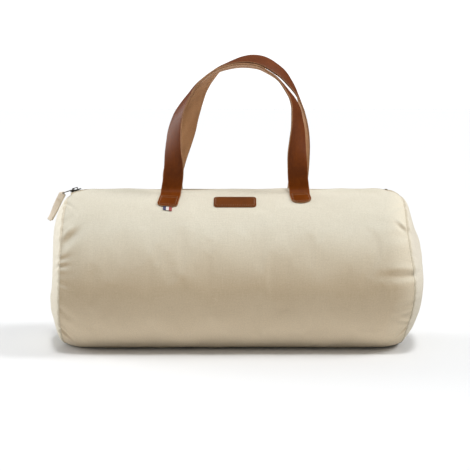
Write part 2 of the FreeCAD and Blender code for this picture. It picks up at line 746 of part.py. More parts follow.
def pull_tape():
    """Doubled strip looped round the end bar, narrow enough to pass between the puller's side rails."""
    body = doc.addObject("PartDesign::Body", "pull_body")
    end = "dims.pull_length"
    vertices = [
        vertex(0.0, LOOP_OUT), vertex(PULL_L, END_OUT, end),
        vertex(PULL_L, END_IN, end), vertex(0.0, LOOP_IN),
    ]
    for i in range(1, LOOP_STEPS + 1):
        angle = math.pi / 2 + math.pi * i / LOOP_STEPS
        vertices.append(vertex(LOOP_IN * math.cos(angle), LOOP_IN * math.sin(angle)))
    vertices += [
        vertex(PULL_L, -END_IN, end), vertex(PULL_L, -END_OUT, end), vertex(0.0, -LOOP_OUT),
    ]
    for i in range(1, LOOP_STEPS):
        angle = -math.pi / 2 - math.pi * i / LOOP_STEPS
        vertices.append(vertex(LOOP_OUT * math.cos(angle), LOOP_OUT * math.sin(angle)))
    pad = body.newObject("PartDesign::Pad", "pull_pad")
    pad.Profile = profile_sketch(body, "pull_profile", vertices)
    pad.Length = dim("pull_width") / 2
    pad.Midplane = True
    pad.setExpression("Length", "dims.pull_width * 0.5")
    body.Tip = pad
    body.Placement = PULL_PLACE
    node(body, "pull_tape")


def pull_stitching():
    """Two rows of thread across each face of the pull."""
    size = (0.6, 4.4, 0.4)
    tacks = []
    for i, x in enumerate((6.0, 9.0)):
        z = LOOP_OUT - (LOOP_OUT - END_OUT) * x / PULL_L + 0.03
        tacks.append(box("pull_tack_%d" % i, size, (x, -size[1] / 2, z)))
        tacks.append(box("pull_tack_low_%d" % i, size, (x, -size[1] / 2, -z - size[2])))
    group = compound("pull_tacks", tacks)
    group.Placement = PULL_PLACE
    node(group, "pull_tape_stitching")


pull_tape()
pull_stitching()

# ---------------------------------------------------------------- handle loops
# Centre line of each strap from its left end to its right: x, y, z and the turn of its face in degrees,
# where 0 faces outwards from the bag and 90 faces up the arch.
FRONT_STRAP = [
    (-93.8, -25.0, 236.4, 0), (-92.8, -26.6, 244.5, 2), (-91.4, -29.6, 254.0, 6), (-90.3, -32.6, 271.0, 16),
    (-91.0, -32.8, 288.4, 31), (-90.5, -30.6, 305.9, 41), (-89.0, -27.0, 323.4, 48), (-85.1, -23.4, 340.9, 59),
    (-80.9, -21.4, 351.9, 66), (-74.2, -19.6, 364.3, 74), (-66.2, -18.0, 376.8, 82), (-58.4, -16.3, 387.5, 87),
    (-49.1, -14.8, 396.0, 91), (-31.1, -12.6, 408.4, 96), (-10.4, -10.8, 415.6, 98), (11.9, -9.6, 418.4, 98),
    (34.1, -9.6, 415.8, 96), (48.1, -10.2, 408.7, 91), (59.9, -11.4, 401.1, 89), (70.2, -13.4, 390.5, 85),
    (79.0, -16.0, 378.7, 80), (85.4, -18.5, 368.8, 75), (90.4, -21.5, 354.6, 65), (91.9, -25.0, 339.9, 57),
    (92.9, -28.0, 323.4, 46), (92.1, -31.0, 305.9, 35), (91.4, -33.0, 288.4, 22), (92.2, -32.6, 270.8, 10),
    (93.0, -29.6, 254.0, 4), (94.1, -26.6, 244.5, 1), (95.0, -25.0, 236.4, 0),
]
REAR_STRAP = [
    (-97.8, 25.0, 236.4, 0), (-96.9, 26.8, 244.5, 2), (-95.6, 30.0, 254.0, 5), (-92.6, 32.6, 267.0, 9),
    (-87.0, 32.6, 285.3, 14), (-80.2, 31.2, 303.7, 20), (-73.8, 29.4, 322.0, 27), (-68.7, 27.6, 340.2, 36),
    (-61.7, 24.8, 359.2, 47), (-53.8, 22.0, 377.8, 58), (-48.1, 20.8, 387.6, 63), (-39.0, 19.2, 399.4, 71),
    (-23.2, 16.4, 414.8, 83), (-10.0, 13.6, 421.8, 94), (3.0, 10.8, 426.0, 102), (14.5, 9.2, 428.0, 108),
    (25.4, 8.4, 428.4, 113), (38.5, 8.4, 426.2, 118), (50.9, 9.0, 420.8, 121), (66.3, 10.6, 410.6, 119),
    (74.5, 11.6, 403.2, 115.5), (81.2, 12.8, 394.8, 111), (87.7, 14.2, 386.0, 105), (92.7, 15.6, 377.4, 98),
    (98.2, 17.6, 363.5, 88), (101.8, 19.6, 346.0, 76), (103.6, 22.0, 322.2, 59), (102.4, 26.5, 299.3, 40),
    (99.8, 31.0, 276.2, 20), (97.8, 30.4, 256.0, 6), (97.0, 26.8, 244.5, 2), (96.8, 25.0, 236.4, 0),
]
STRAP_STEPS = 44  # lofted stretches along each strap
CURVE_STEPS = 8  # curve samples between two stations


def catmull_rom(a, b, c, e, t):
    """Value at share t of the way from b to c, with neighbours a and e."""
    return 0.5 * (
        (2 * b) + (-a + c) * t + (2 * a - 5 * b + 4 * c - e) * t * t
        + (-a + 3 * b - 3 * c + e) * t ** 3
    )


def smooth(stations, steps):
    """Curve through the stations, resampled at even lengths."""
    curve = []
    last = len(stations) - 1
    for i in range(last):
        around = (
            stations[max(i - 1, 0)], stations[i], stations[i + 1], stations[min(i + 2, last)]
        )
        for k in range(CURVE_STEPS):
            curve.append(tuple(catmull_rom(*column, k / CURVE_STEPS) for column in zip(*around)))
    curve.append(stations[-1])
    run = [0.0]
    for first, second in zip(curve, curve[1:]):
        run.append(run[-1] + math.dist(first[:3], second[:3]))
    even = []
    j = 0
    for step in range(steps + 1):
        want = run[-1] * step / steps
        while j < len(run) - 2 and run[j + 1] < want:
            j += 1
        share = (want - run[j]) / max(run[j + 1] - run[j], 1e-9)
        even.append(tuple(p + (q - p) * share for p, q in zip(curve[j], curve[j + 1])))
    return even


def strap_sections(stations, side):
    """Rectangles across the strap, turned with its face."""
    points = smooth(stations, STRAP_STEPS)
    half_width, half_thick = dim("strap_width") / 2, dim("strap_thick") / 2
    outwards = V(0, side, 0)
    sections = []
    for i, (x, y, z, turn) in enumerate(points):
        before, after = points[max(i - 1, 0)], points[min(i + 1, len(points) - 1)]
        along = (V(*after[:3]) - V(*before[:3])).normalize()
        arch = along.cross(V(0, 1, 0)) * -1.0
        if i == 0:
            # at the left end the outside of the arch is towards -X
            arch_sign = 1.0 if arch.x < 0 else -1.0
        arch = arch * arch_sign
        angle = math.radians(turn)
        face = outwards * math.cos(angle) + arch * math.sin(angle)
        face = (face - along * face.dot(along)).normalize()
        across = along.cross(face).normalize() * half_width
        face = face * half_thick
        centre = V(x, y, z)
        sections.append([
            centre + across + face, centre - across + face,
            centre - across - face, centre + across - face,
        ])
    return sections


ruled_loft("front_handle_strap", strap_sections(FRONT_STRAP, -1))
ruled_loft("rear_handle_strap", strap_sections(REAR_STRAP, 1))

# ---------------------------------------------------------------- check and write
doc.recompute()
bad = []
for obj in doc.Objects:
    if any(state in ("Invalid", "Error") for state in obj.State):
        bad.append("%s %s" % (obj.Name, obj.State))
for part in PARTS:
    shape = part.Shape
    if shape.isNull() or not shape.isValid() or not shape.Solids:
        bad.append("%s shape null %s" % (part.Label, shape.isNull()))
if bad:
    raise SystemExit("failed: " + "; ".join(bad))
os.makedirs("parts", exist_ok=True)
for part in PARTS:
    part.Shape.exportStep("parts/%s.step" % part.Label)
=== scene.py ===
"""A stuffed canvas barrel bag with leather handles.

The barrel lies along X and rests on the floor at z = 0. The front faces -Y, the left end -X.
The zip runs along the top. Two leather straps arch over it, a leather patch and a ribbon tab
sit on the front, and a folded fabric pull hangs over the left end.
Lengths are millimetres, turned into metres where meshes and modifiers are made.
"""
import json
import math

import bmesh
import bpy
import numpy as np
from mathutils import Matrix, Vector


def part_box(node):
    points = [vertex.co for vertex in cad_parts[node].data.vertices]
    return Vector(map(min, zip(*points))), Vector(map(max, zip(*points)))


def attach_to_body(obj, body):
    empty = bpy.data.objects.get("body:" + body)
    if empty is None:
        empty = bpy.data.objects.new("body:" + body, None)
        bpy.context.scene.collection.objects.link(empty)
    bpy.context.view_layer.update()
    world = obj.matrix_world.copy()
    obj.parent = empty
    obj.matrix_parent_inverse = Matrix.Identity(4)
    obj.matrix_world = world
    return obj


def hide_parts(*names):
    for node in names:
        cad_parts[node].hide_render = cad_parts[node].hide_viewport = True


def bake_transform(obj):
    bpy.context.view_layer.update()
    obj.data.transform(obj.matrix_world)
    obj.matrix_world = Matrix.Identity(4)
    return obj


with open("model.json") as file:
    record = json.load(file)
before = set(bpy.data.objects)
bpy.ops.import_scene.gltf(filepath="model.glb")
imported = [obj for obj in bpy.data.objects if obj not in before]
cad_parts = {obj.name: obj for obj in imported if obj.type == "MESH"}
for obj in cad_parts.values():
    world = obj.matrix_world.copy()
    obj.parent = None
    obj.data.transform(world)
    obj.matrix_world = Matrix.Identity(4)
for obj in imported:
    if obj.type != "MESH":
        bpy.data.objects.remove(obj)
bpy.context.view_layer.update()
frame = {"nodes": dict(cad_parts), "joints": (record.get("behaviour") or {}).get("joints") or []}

MM = 0.001


def box_mm(node):
    return [tuple(v / MM for v in corner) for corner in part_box(node)]


# ---------------------------------------------------------------- driving sizes
(body_x0, body_y0, _), (body_x1, body_y1, _) = box_mm("body_panel")
(left_x, _, _), _ = box_mm("end_panel_left")
_, (right_x, _, _) = box_mm("end_panel_right")

BARREL_R = min((body_y1 - body_y0) / 2, 121.0)
AXIS_Z = 112.0  # height of the barrel's axis
SEAM_X = (body_x1 - body_x0) / 2  # end seams, either way from the middle
GRID_X = SEAM_X - 1.0  # where the barrel's even rows stop
END_X = SEAM_X + 1.0  # plane the round ends stand on
SEAM_R = 112.0
SHOULDER = 23.0  # length of the rounded shoulder beside each seam
DROP = BARREL_R - SEAM_R
SHOULDER_R = (SHOULDER * SHOULDER + DROP * DROP) / (2 * DROP)
SHOULDER_X = SEAM_X - SHOULDER
BULGE = {-1: -left_x - END_X, 1: right_x - END_X}  # how far the ends stand out
MOUTH_A = math.asin(9.0 / BARREL_R)  # half the zip opening, as an angle
PATCH_A = math.radians(90 - 62.6)  # middle of the leather patch, from straight up
FLOOR_GAP = 0.5  # lowest height of the canvas
DRAW_TURN = 6.283  # one turn, as used by the random draws


# ---------------------------------------------------------------- number helpers
def smooth(t):
    t = np.clip(t, 0, 1)
    return t * t * (3 - 2 * t)


def bell(x, width):
    return np.exp(-((x / width) ** 2))


def signed(angle):
    """The angle brought between -pi and pi."""
    return (angle + math.pi) % math.tau - math.pi


def unit(vectors):
    return vectors / np.linalg.norm(vectors, axis=-1, keepdims=True)


def run_length(points):
    """Distance travelled along the points."""
    steps = np.linalg.norm(np.diff(points, axis=0), axis=1)
    return np.concatenate([[0], np.cumsum(steps)])


def window(reach):
    """Averaging weights for 2 * reach + 1 neighbours."""
    weights = np.hanning(2 * reach + 1)
    return weights / weights.sum()


def waves(seed, count, low, high):
    """A few random waves that add up to smooth, repeatable noise."""
    draw = np.random.default_rng(seed)
    return [
        (
            draw.uniform(low, high) * (1 if draw.random() < 0.5 else -1),
            draw.uniform(low, high),
            draw.uniform(0, DRAW_TURN),
            draw.uniform(0.5, 1),
        )
        for _ in range(count)
    ]


def wave_noise(wave_set, u, v):
    total = 0
    for rate_u, rate_v, phase, weight in wave_set:
        total = total + weight * np.sin(rate_u * u + rate_v * v + phase)
    return total / math.sqrt(len(wave_set))


BROAD_WAVES = waves(1, 9, 0.006, 0.022)
MID_WAVES = waves(2, 12, 0.03, 0.075)


# ---------------------------------------------------------------- the canvas surface
# Angles go round the barrel from straight up, positive to the front:
# y = -r sin, z = AXIS_Z + r cos. Side -1 is the left end, +1 the right end.

# side, angle at the seam (deg), slant (deg per mm), depth (mm), width (deg), reach (mm),
# start in from the seam (mm)
FOLDS = [
    (1, 56.0, 0.10, 0.9, 3.4, 26, 0), (1, 86.0, 0.00, 1.0, 2.6, 30, 0),
    (1, 107.0, 0.02, 1.0, 1.5, 18, 0), (1, 114.5, 0.03, 0.9, 1.3, 12, 0),
    (1, 130.0, 0.75, 1.6, 1.7, 15, 0), (1, 124.0, -0.30, 1.3, 1.6, 12, 0),
    (1, 26.0, 0.45, 1.1, 2.2, 16, 0), (1, 139.0, 0.35, 0.9, 2.4, 22, 0),
    (-1, 64.5, -0.40, 2.6, 3.6, 20, 9), (-1, 74.5, -0.10, 1.6, 1.6, 9, 0),
    (-1, 79.5, -0.06, 1.9, 1.5, 9, 0), (-1, 92.0, 0.10, 0.9, 1.5, 10, 0),
    (-1, 133.0, 0.60, 2.8, 1.9, 12, 0), (-1, 112.0, 0.30, 0.8, 2.6, 22, 0),
    (-1, 22.0, 0.85, 1.5, 2.0, 10, 0), (-1, 44.0, -0.25, 0.8, 2.6, 14, 0),
    (1, 205.0, 0.3, 1.5, 2.4, 18, 0), (1, 232.0, -0.3, 1.7, 2.6, 20, 0),
    (1, 262.0, 0.15, 1.8, 2.2, 26, 0), (1, 290.0, -0.2, 1.5, 2.4, 16, 0),
    (1, 318.0, 0.3, 1.5, 2.6, 16, 0), (-1, 210.0, -0.3, 1.7, 2.6, 22, 0),
    (-1, 240.0, 0.3, 1.5, 2.4, 16, 0), (-1, 268.0, -0.12, 1.8, 2.2, 24, 0),
    (-1, 297.0, 0.3, 1.5, 2.4, 18, 0), (-1, 324.0, -0.3, 1.5, 2.4, 14, 0),
]
# depth, x, angle (deg), size along and across (mm), tilt (rad)
DIMPLES = [
    (2.5, 243, 49.0, 9.0, 4.6, 0.75),
    (0.7, 226, 46.0, 18.0, 9.0, 0.1),
    (3.0, -239, 56.0, 12.0, 6.5, -0.75),
]
# areas under sewn-on pieces: angle, half angle (rad), x, half length (mm)
HELD_AREAS = [
    (0.38, 0.23, -97, 21), (0.34, 0.18, 96, 21), (-0.34, 0.18, -96, 21), (-0.34, 0.18, 96, 21),
    (PATCH_A, 0.15, 0, 38), (0.60, 0.07, -98, 9),
]
# x along the bag and how far the front edge of the mouth stands up there
LIP_X = (-238, -225, -200, -160, -125, -108, -62, -40, 0, 30, 58, 78, 98, 115, 135, 160, 182,
         214, 236)
LIP_H = (2.0, 3.9, 2.3, 3.6, 2.3, 1.5, 1.4, 2.2, 2.9, 2.3, 3.2, 4.6, 3.4, 2.0, 2.6, 3.8, 2.4,
         4.6, 2.6)
# z and how far the end seam stands outwards there
LEAN_LEFT = ((0, 5.0), (60, 1.8), (112, -1.6), (150, -2.6), (190, -2.9), (212, -2.5),
             (226, -0.8), (240, 0))
LEAN_RIGHT = ((0, -2.4), (38, -2.0), (54, 1.4), (74, 4.0), (99, 5.4), (120, 3.2), (146, -0.8),
              (170, -3.6), (200, -3.8), (216, -2.4), (228, -0.6), (240, 0))

cloth_shift = None  # set by the cloth pass: barrel, left end, right end


def barrel_radius(x):
    """Plain radius: straight, then an arc down to the seam."""
    past = np.minimum(np.abs(x), SEAM_X) - SHOULDER_X
    arc = np.sqrt(np.maximum(SHOULDER_R * SHOULDER_R - np.maximum(past, 0) ** 2, 0))
    return np.where(past <= 0, BARREL_R, BARREL_R - SHOULDER_R + arc)


def gathers(x, ang):
    """Gathers that run in from both end seams, deeper at the seam, some slanted."""
    out = np.zeros_like(x)
    for side in (-1, 1):
        draw = np.random.default_rng(40 + side)
        inward = SEAM_X - side * x
        at = 0.0
        while at < DRAW_TURN:
            at += draw.uniform(0.075, 0.20)
            depth = draw.uniform(0.15, 0.85)
            reach = draw.uniform(5, 16)
            width = draw.uniform(0.014, 0.034)
            slant = draw.uniform(-0.0022, 0.0022)
            across = bell(signed(ang - at - slant * inward), width * (1 + inward / 26))
            fade = np.exp(-np.maximum(inward, 0) / reach)
            out += depth * across * fade * np.where(inward < 60, 1, 0)
    return out


def dents(x, ang):
    """Single dimples near both ends and one long step near the right end."""
    out = np.zeros_like(x)
    for depth, at_x, at_deg, along, across, tilt in DIMPLES:
        u = x - at_x
        v = (ang - math.radians(at_deg)) * BARREL_R
        cos, sin = math.cos(tilt), math.sin(tilt)
        p = u * cos + v * sin
        q = (-u * sin + v * cos) / across
        out = out - depth * (np.exp(-((p / along) ** 2)) * q * np.exp(0.5 - q**2))
    # the step: a roll of canvas stands out above a hollow, strongest at the seam
    run = smooth((x - 184) / 56)
    v = (ang - math.radians(84.0)) * BARREL_R / 8.0
    return out - 1.8 * run * v * np.exp(0.5 - v**2) * (x > 0)


def folds(x, ang):
    """The listed folds: a groove with a low ridge on each side."""
    out = np.zeros_like(x)
    for side, at_deg, slant, depth, width_deg, reach, start in FOLDS:
        inward = SEAM_X - side * x
        da = signed(ang - (math.radians(at_deg) + math.radians(slant) * inward))
        width = math.radians(width_deg) * (1 + inward / 60)
        along = np.exp(-((np.maximum(inward - 2, 0) / reach) ** 1.6))
        if start:
            along = along * (0.25 + 0.75 * smooth(inward / start))
        ridge_a = 0.55 * bell(da - 1.9 * width, 1.1 * width)
        ridge_b = 0.45 * bell(da + 2.0 * width, 1.2 * width)
        out += depth * (bell(da, width) - ridge_a - ridge_b) * along
    return out


def keep_clear(x, ang):
    """1 in the open, 0 where a sewn-on piece or the zip holds the canvas."""
    free = np.ones_like(x)
    for at, half_angle, at_x, half_length in HELD_AREAS:
        reach = np.maximum(np.abs(signed(ang - at)) / half_angle, np.abs(x - at_x) / half_length)
        free = np.minimum(free, smooth((reach - 0.9) / 0.6))
    return np.minimum(free, smooth((np.abs(signed(ang)) - 0.11) / 0.12))


def canvas_offset(x, ang):
    """How far the stuffed canvas stands off its plain barrel shape."""
    round_mm = ang * BARREL_R
    free = keep_clear(x, ang)
    inner = smooth((SEAM_X - 12 - np.abs(x)) / 60)
    out = 1.1 * wave_noise(BROAD_WAVES, x, round_mm) * inner
    out = out + 0.28 * wave_noise(MID_WAVES, x, round_mm) * (0.4 + 0.6 * inner)
    out = out + 1.0 * bell(np.cos(ang) + 0.55, 0.35) * inner  # the load settles low
    out = np.minimum(out, 2.6) * free
    out = out - folds(x, ang) - 0.4 * gathers(x, ang) + dents(x, ang)
    if cloth_shift is not None:
        back = smooth(-np.sin(ang) + 0.3)  # the rear carries more of the spare canvas
        hem = 0.15 + 0.85 * smooth((SEAM_X - 4 - np.abs(x)) / 48)
        share = (0.25 + 0.75 * free) * (0.24 + 0.2 * back) * hem
        out = out + barrel_shift(x, ang) * share
    # away from the zip the shoulders ease down to the seams over a longer run
    around = signed(ang)
    ease = np.clip((np.abs(x) - (SEAM_X - 42)) / 42, 0, 1)
    away = smooth((np.abs(around) - 0.16) / 0.3)
    eased = BARREL_R - DROP * ease**2.5 - barrel_radius(x)
    out = out + np.minimum(eased, 0) * away
    # the canvas beside the mouth stands up in long shallow waves
    rear = around < 0
    front = around > 0
    swell = 0.45 * np.sin(x * 0.033 + 0.6 + 2.0 * rear)
    swell = swell + 0.3 * np.sin(x * 0.071 + 2.2 - 1.4 * rear)
    lip = np.where(front, np.interp(x, LIP_X, LIP_H) + 0.25 * swell, 0.6 + swell)
    beside = bell(np.abs(around) - np.where(front, 0.115, 0.135), 0.06)
    out = out + np.clip(lip, 0.1, 4.0) * beside * smooth((SEAM_X - 14 - np.abs(x)) / 26)
    return np.minimum(out, 5.0)


def smooth_table(pairs, reach=26):
    z = np.linspace(pairs[0][0] - 30, pairs[-1][0] + 30, 400)
    v = np.interp(z, [p[0] for p in pairs], [p[1] for p in pairs])
    return z, np.convolve(np.pad(v, reach, mode="edge"), window(reach), "valid")


LEAN_TABLES = smooth_table(LEAN_LEFT), smooth_table(LEAN_RIGHT)


def lean(x, z):
    """Shift along X of the shell, growing from mid-length to the seams."""
    left, right = LEAN_TABLES
    shift = np.where(x < 0, -np.interp(z, *left), np.interp(z, *right))
    return shift * smooth((np.abs(x) - 120) / 128)


def soft_floor(z):
    """Heights eased so that nothing goes below the floor gap."""
    ease = 1.6
    d = (z - FLOOR_GAP) / ease
    return FLOOR_GAP + ease * np.where(d > 12, d, np.log1p(np.exp(np.minimum(d, 12))))


def surface(x, ang, off=0.0):
    """Points of the canvas."""
    r = barrel_radius(x) + canvas_offset(x, ang) + off
    z = soft_floor(AXIS_Z + r * np.cos(ang))
    return np.stack([x + lean(x, z), -r * np.sin(ang), z], -1)


# ---------------------------------------------------------------- mesh helpers
def mesh_object(name, verts, faces, uvs=None, mats=(), face_slots=None):
    mesh = bpy.data.meshes.new(name)
    points = [tuple(v) for v in np.asarray(verts, float) * MM]
    mesh.from_pydata(points, [], [tuple(int(i) for i in f) for f in faces])
    for mat in mats:
        mesh.materials.append(mat)
    if uvs is not None:
        layer = mesh.uv_layers.new(name="UVMap")
        index = np.empty(len(mesh.loops), int)
        mesh.loops.foreach_get("vertex_index", index)
        layer.data.foreach_set("uv", np.asarray(uvs, float)[index].ravel())
    if face_slots is not None:
        mesh.polygons.foreach_set("material_index", np.asarray(face_slots, int))
    mesh.polygons.foreach_set("use_smooth", [True] * len(mesh.polygons))
    mesh.update()
    ob = bpy.data.objects.new(name, mesh)
    bpy.context.scene.collection.objects.link(ob)
    return ob


def grid_faces(rows, cols, wrap=False, base=0, flip=False):
    faces = []
    for i in range(rows - 1):
        for j in range(cols if wrap else cols - 1):
            j2 = (j + 1) % cols
            a = base + i * cols
            b = a + cols
            quad = (a + j, a + j2, b + j2, b + j)
            faces.append(quad[::-1] if flip else quad)
    return faces


def apply_mods(ob):
    bpy.context.view_layer.update()
    graph = bpy.context.evaluated_depsgraph_get()
    mesh = bpy.data.meshes.new_from_object(
        ob.evaluated_get(graph), preserve_all_data_layers=True, depsgraph=graph
    )
    old = ob.data
    ob.modifiers.clear()
    ob.data = mesh
    bpy.data.meshes.remove(old)


def thicken(ob, thickness, offset=0.0, inner_slot=0):
    """Turn a sheet into a solid; offset -1 grows it inwards only."""
    solid = ob.modifiers.new("thick", "SOLIDIFY")
    solid.thickness = thickness * MM
    solid.offset = offset
    solid.material_offset = inner_slot
    apply_mods(ob)


def soft_edges(ob, width, angle_deg=35):
    bevel = ob.modifiers.new("soft", "BEVEL")
    bevel.width = width * MM
    bevel.segments = 2
    bevel.limit_method = "ANGLE"
    bevel.angle_limit = math.radians(angle_deg)


def attach(ob, slot, *nodes, rides="bag"):
    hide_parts(*nodes)
    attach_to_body(ob, rides)


# ---------------------------------------------------------------- shader helpers
def linear(colour):
    """sRGB 0-255 to scene linear."""

    def channel(v):
        v = v / 255.0
        return v / 12.92 if v <= 0.04045 else ((v + 0.055) / 1.055) ** 2.4

    return (*(channel(v) for v in colour), 1.0)


class Nodes:
    """Short ways to add nodes to a tree. Colours are sRGB tuples, 0-255."""

    def __init__(self, tree):
        self.tree = tree
        tree.nodes.clear()

    def node(self, kind, **settings):
        node = self.tree.nodes.new(kind)
        for key, value in settings.items():
            setattr(node, key, value)
        return node

    def link(self, a, b):
        self.tree.links.new(a, b)

    def put(self, socket, value):
        if hasattr(value, "is_output"):
            self.link(value, socket)
        else:
            socket.default_value = value

    def math(self, op, *values):
        node = self.node("ShaderNodeMath", operation=op)
        for socket, value in zip(node.inputs, values):
            self.put(socket, value)
        return node.outputs[0]

    def add(self, a, b):
        return self.math("ADD", a, b)

    def times(self, a, b):
        return self.math("MULTIPLY", a, b)

    def weighted(self, *pairs):
        """Sum of (value, weight) pairs."""
        parts = [self.times(value, weight) for value, weight in pairs]
        total = parts[0]
        for part in parts[1:]:
            total = self.add(total, part)
        return total

    def noise(self, vec, scale=1.0, stretch=None, detail=2.0, rough=0.5, distortion=0.0):
        """Noise; stretch gives a separate rate for each axis."""
        node = self.node("ShaderNodeTexNoise")
        self.link(self.scaled(vec, stretch) if stretch else vec, node.inputs["Vector"])
        node.inputs["Scale"].default_value = scale
        node.inputs["Detail"].default_value = detail
        node.inputs["Roughness"].default_value = rough
        node.inputs["Distortion"].default_value = distortion
        return node.outputs["Fac"]

    def ramp(self, fac, stops, mode="LINEAR"):
        node = self.node("ShaderNodeValToRGB")
        node.color_ramp.interpolation = mode
        marks = node.color_ramp.elements
        for mark, (place, colour) in zip(marks, (stops[0], stops[-1])):
            mark.position = place
            mark.color = linear(colour)
        for place, colour in stops[1:-1]:
            marks.new(place).color = linear(colour)
        self.put(node.inputs[0], fac)
        return node.outputs[0]

    def mix(self, fac, a, b, mode="MIX"):
        node = self.node("ShaderNodeMix", data_type="RGBA", blend_type=mode)
        self.put(node.inputs[0], fac)
        self.put(node.inputs[6], linear(a) if isinstance(a, tuple) else a)
        self.put(node.inputs[7], linear(b) if isinstance(b, tuple) else b)
        return node.outputs[2]

    def fit(self, value, span, to=(0.0, 1.0), mode="LINEAR"):
        """Carry the value from one span to another, clamped."""
        node = self.node("ShaderNodeMapRange", interpolation_type=mode)
        for socket, v in zip(node.inputs, (value, *span, *to)):
            self.put(socket, v)
        return node.outputs[0]

    def scaled(self, vec, factors):
        node = self.node("ShaderNodeVectorMath", operation="MULTIPLY")
        self.link(vec, node.inputs[0])
        node.inputs[1].default_value = factors
        return node.outputs[0]

    def split(self, vec):
        node = self.node("ShaderNodeSeparateXYZ")
        self.link(vec, node.inputs[0])
        return node.outputs

    def uv(self):
        return self.node("ShaderNodeUVMap", uv_map="UVMap").outputs[0]

    def object_m(self):
        return self.node("ShaderNodeTexCoord").outputs["Object"]

    def object_mm(self):
        return self.scaled(self.object_m(), (1000, 1000, 1000))

    def bump(self, height, strength, distance):
        node = self.node("ShaderNodeBump")
        node.inputs["Strength"].default_value = strength
        node.inputs["Distance"].default_value = distance
        self.link(height, node.inputs["Height"])
        return node.outputs[0]


class Shader(Nodes):
    """A material with one principled shader."""

    def __init__(self, name):
        self.material = bpy.data.materials.new(name)
        self.material.use_nodes = True
        super().__init__(self.material.node_tree)
        output = self.node("ShaderNodeOutputMaterial")
        self.principled = self.node("ShaderNodeBsdfPrincipled")
        self.link(self.principled.outputs[0], output.inputs[0])

    def finish(self, **inputs):
        """Fill the shader's inputs (underscores stand for spaces)."""
        for key, value in inputs.items():
            self.put(self.principled.inputs[key.replace("_", " ")], value)
        return self.material


# ---------------------------------------------------------------- materials
def colour_with_painted_light(mat, fac, light, dark, side, shaded_side_dark):
    """Painted light and shade: faces turned up or right are painted paler, faces turned down get
    a pale painted bounce, and the sides a darker, warmer painted-shade colour.
    """
    normal = mat.split(mat.node("ShaderNodeNewGeometry").outputs["Normal"])
    # painted light: faces turned up take the top colours, faces turned down the pale painted
    # bounce (244, 229, 204), the rest the painted-shade side colours
    up = mat.fit(normal[2], (-0.05, 0.62))
    low = mat.fit(normal[2], (-0.12, -0.95))
    shade = mat.mix(low, mat.mix(fac, shaded_side_dark, side), (244, 229, 204))
    colour = mat.mix(up, shade, mat.mix(fac, dark, light))
    # painted light: faces turned right are painted paler
    painted_light_right = mat.fit(normal[0], (0.08, 0.6), to=(0.0, 0.6))
    return mat.mix(painted_light_right, colour, (224, 214, 193))


def end_colour(mat, fac, vec, slub, dark, light):
    """Even colour with painted seam shade: the stitched rim is painted slightly darker."""
    radius = mat.node("ShaderNodeVectorMath", operation="LENGTH")
    mat.link(vec, radius.inputs[0])
    rim = mat.fit(radius.outputs["Value"], (108.6, 110.2))
    # painted shade along the seam, patchy with the slubs
    painted_seam_shade = mat.times(rim, mat.fit(slub, (0.3, 0.7), to=(0.3, 0.75)))
    return mat.mix(painted_seam_shade, mat.mix(fac, dark, light), (176, 162, 136))


def canvas_material(name, light=(209, 204, 188), dark=(196, 189, 171), side=(199, 183, 156),
                    shaded_side_dark=(185, 166, 138), pitch=1.0, end=None):
    """Plain-weave cotton; end gives the (dark, light) colours of a round end. The side colours
    are painted-shade colours for faces turned sideways.
    """
    mat = Shader(name)
    vec = mat.uv()
    u, v, _ = mat.split(vec)
    # crossing threads, bent a little by slow noise
    wobble = mat.times(mat.math("SUBTRACT", mat.noise(vec, scale=0.05), 0.5), 3.0)

    def threads(along, spacing):
        return mat.math("SINE", mat.times(mat.add(along, wobble), math.pi / spacing))

    warp = threads(u, pitch)
    weft = threads(v, pitch * 1.06)
    weave = mat.times(warp, weft)
    thread = mat.weighted((mat.math("ABSOLUTE", warp), 0.5), (mat.math("ABSOLUTE", weft), 0.5))
    height = mat.add(mat.times(weave, 0.35), thread)
    # slubs both ways, blotches and specks
    slub_u = mat.noise(vec, stretch=(0.05, 1.1, 1), detail=3.0, rough=0.6)
    slub_v = mat.noise(vec, stretch=(1.1, 0.05, 1), detail=3.0, rough=0.6)
    blotch = mat.noise(vec, stretch=(0.012, 0.012, 1), detail=4.0, rough=0.55)
    speck = mat.noise(vec, scale=0.9, detail=3.0, rough=0.65)
    tone = mat.weighted((slub_u, 0.3), (slub_v, 0.3), (blotch, 0.25), (speck, 0.15))
    fac = mat.fit(tone, (0.34, 0.64))
    if end:
        colour = end_colour(mat, fac, vec, slub_u, *end)
    else:
        colour = colour_with_painted_light(mat, fac, light, dark, side, shaded_side_dark)
    # dark gaps between threads and short thick and thin places in the yarn
    thread_gaps_and_painted_shade = mat.fit(height, (0.15, 0.7), to=(0.82, 1.02))
    yarn = mat.add(
        mat.noise(vec, stretch=(0.55, 0.42, 1), rough=0.7),
        mat.noise(vec, stretch=(0.42, 0.55, 1), rough=0.7),
    )
    thread_gaps_and_painted_shade = mat.times(thread_gaps_and_painted_shade, mat.fit(yarn, (0.76, 1.24), to=(0.945, 1.055)))
    # painted shade: the barrel canvas is painted a little darker towards the left end, away from
    # the light from the right
    if not end:  # a little darker towards the left end
        thread_gaps_and_painted_shade = mat.times(thread_gaps_and_painted_shade, mat.fit(u, (-235.0, -60.0), to=(0.93, 1.0)))
    grey = mat.node("ShaderNodeCombineXYZ")
    for socket in grey.inputs:
        mat.link(thread_gaps_and_painted_shade, socket)
    relief = mat.weighted((height, 0.10), (tone, 0.35))
    return mat.finish(
        Base_Color=mat.mix(1.0, colour, grey.outputs[0], mode="MULTIPLY"),
        Roughness=0.92,
        Normal=mat.bump(relief, strength=0.6, distance=0.0011),
        Sheen_Weight=0.12,
        Sheen_Roughness=0.55,
        Specular_IOR_Level=0.18,
    )


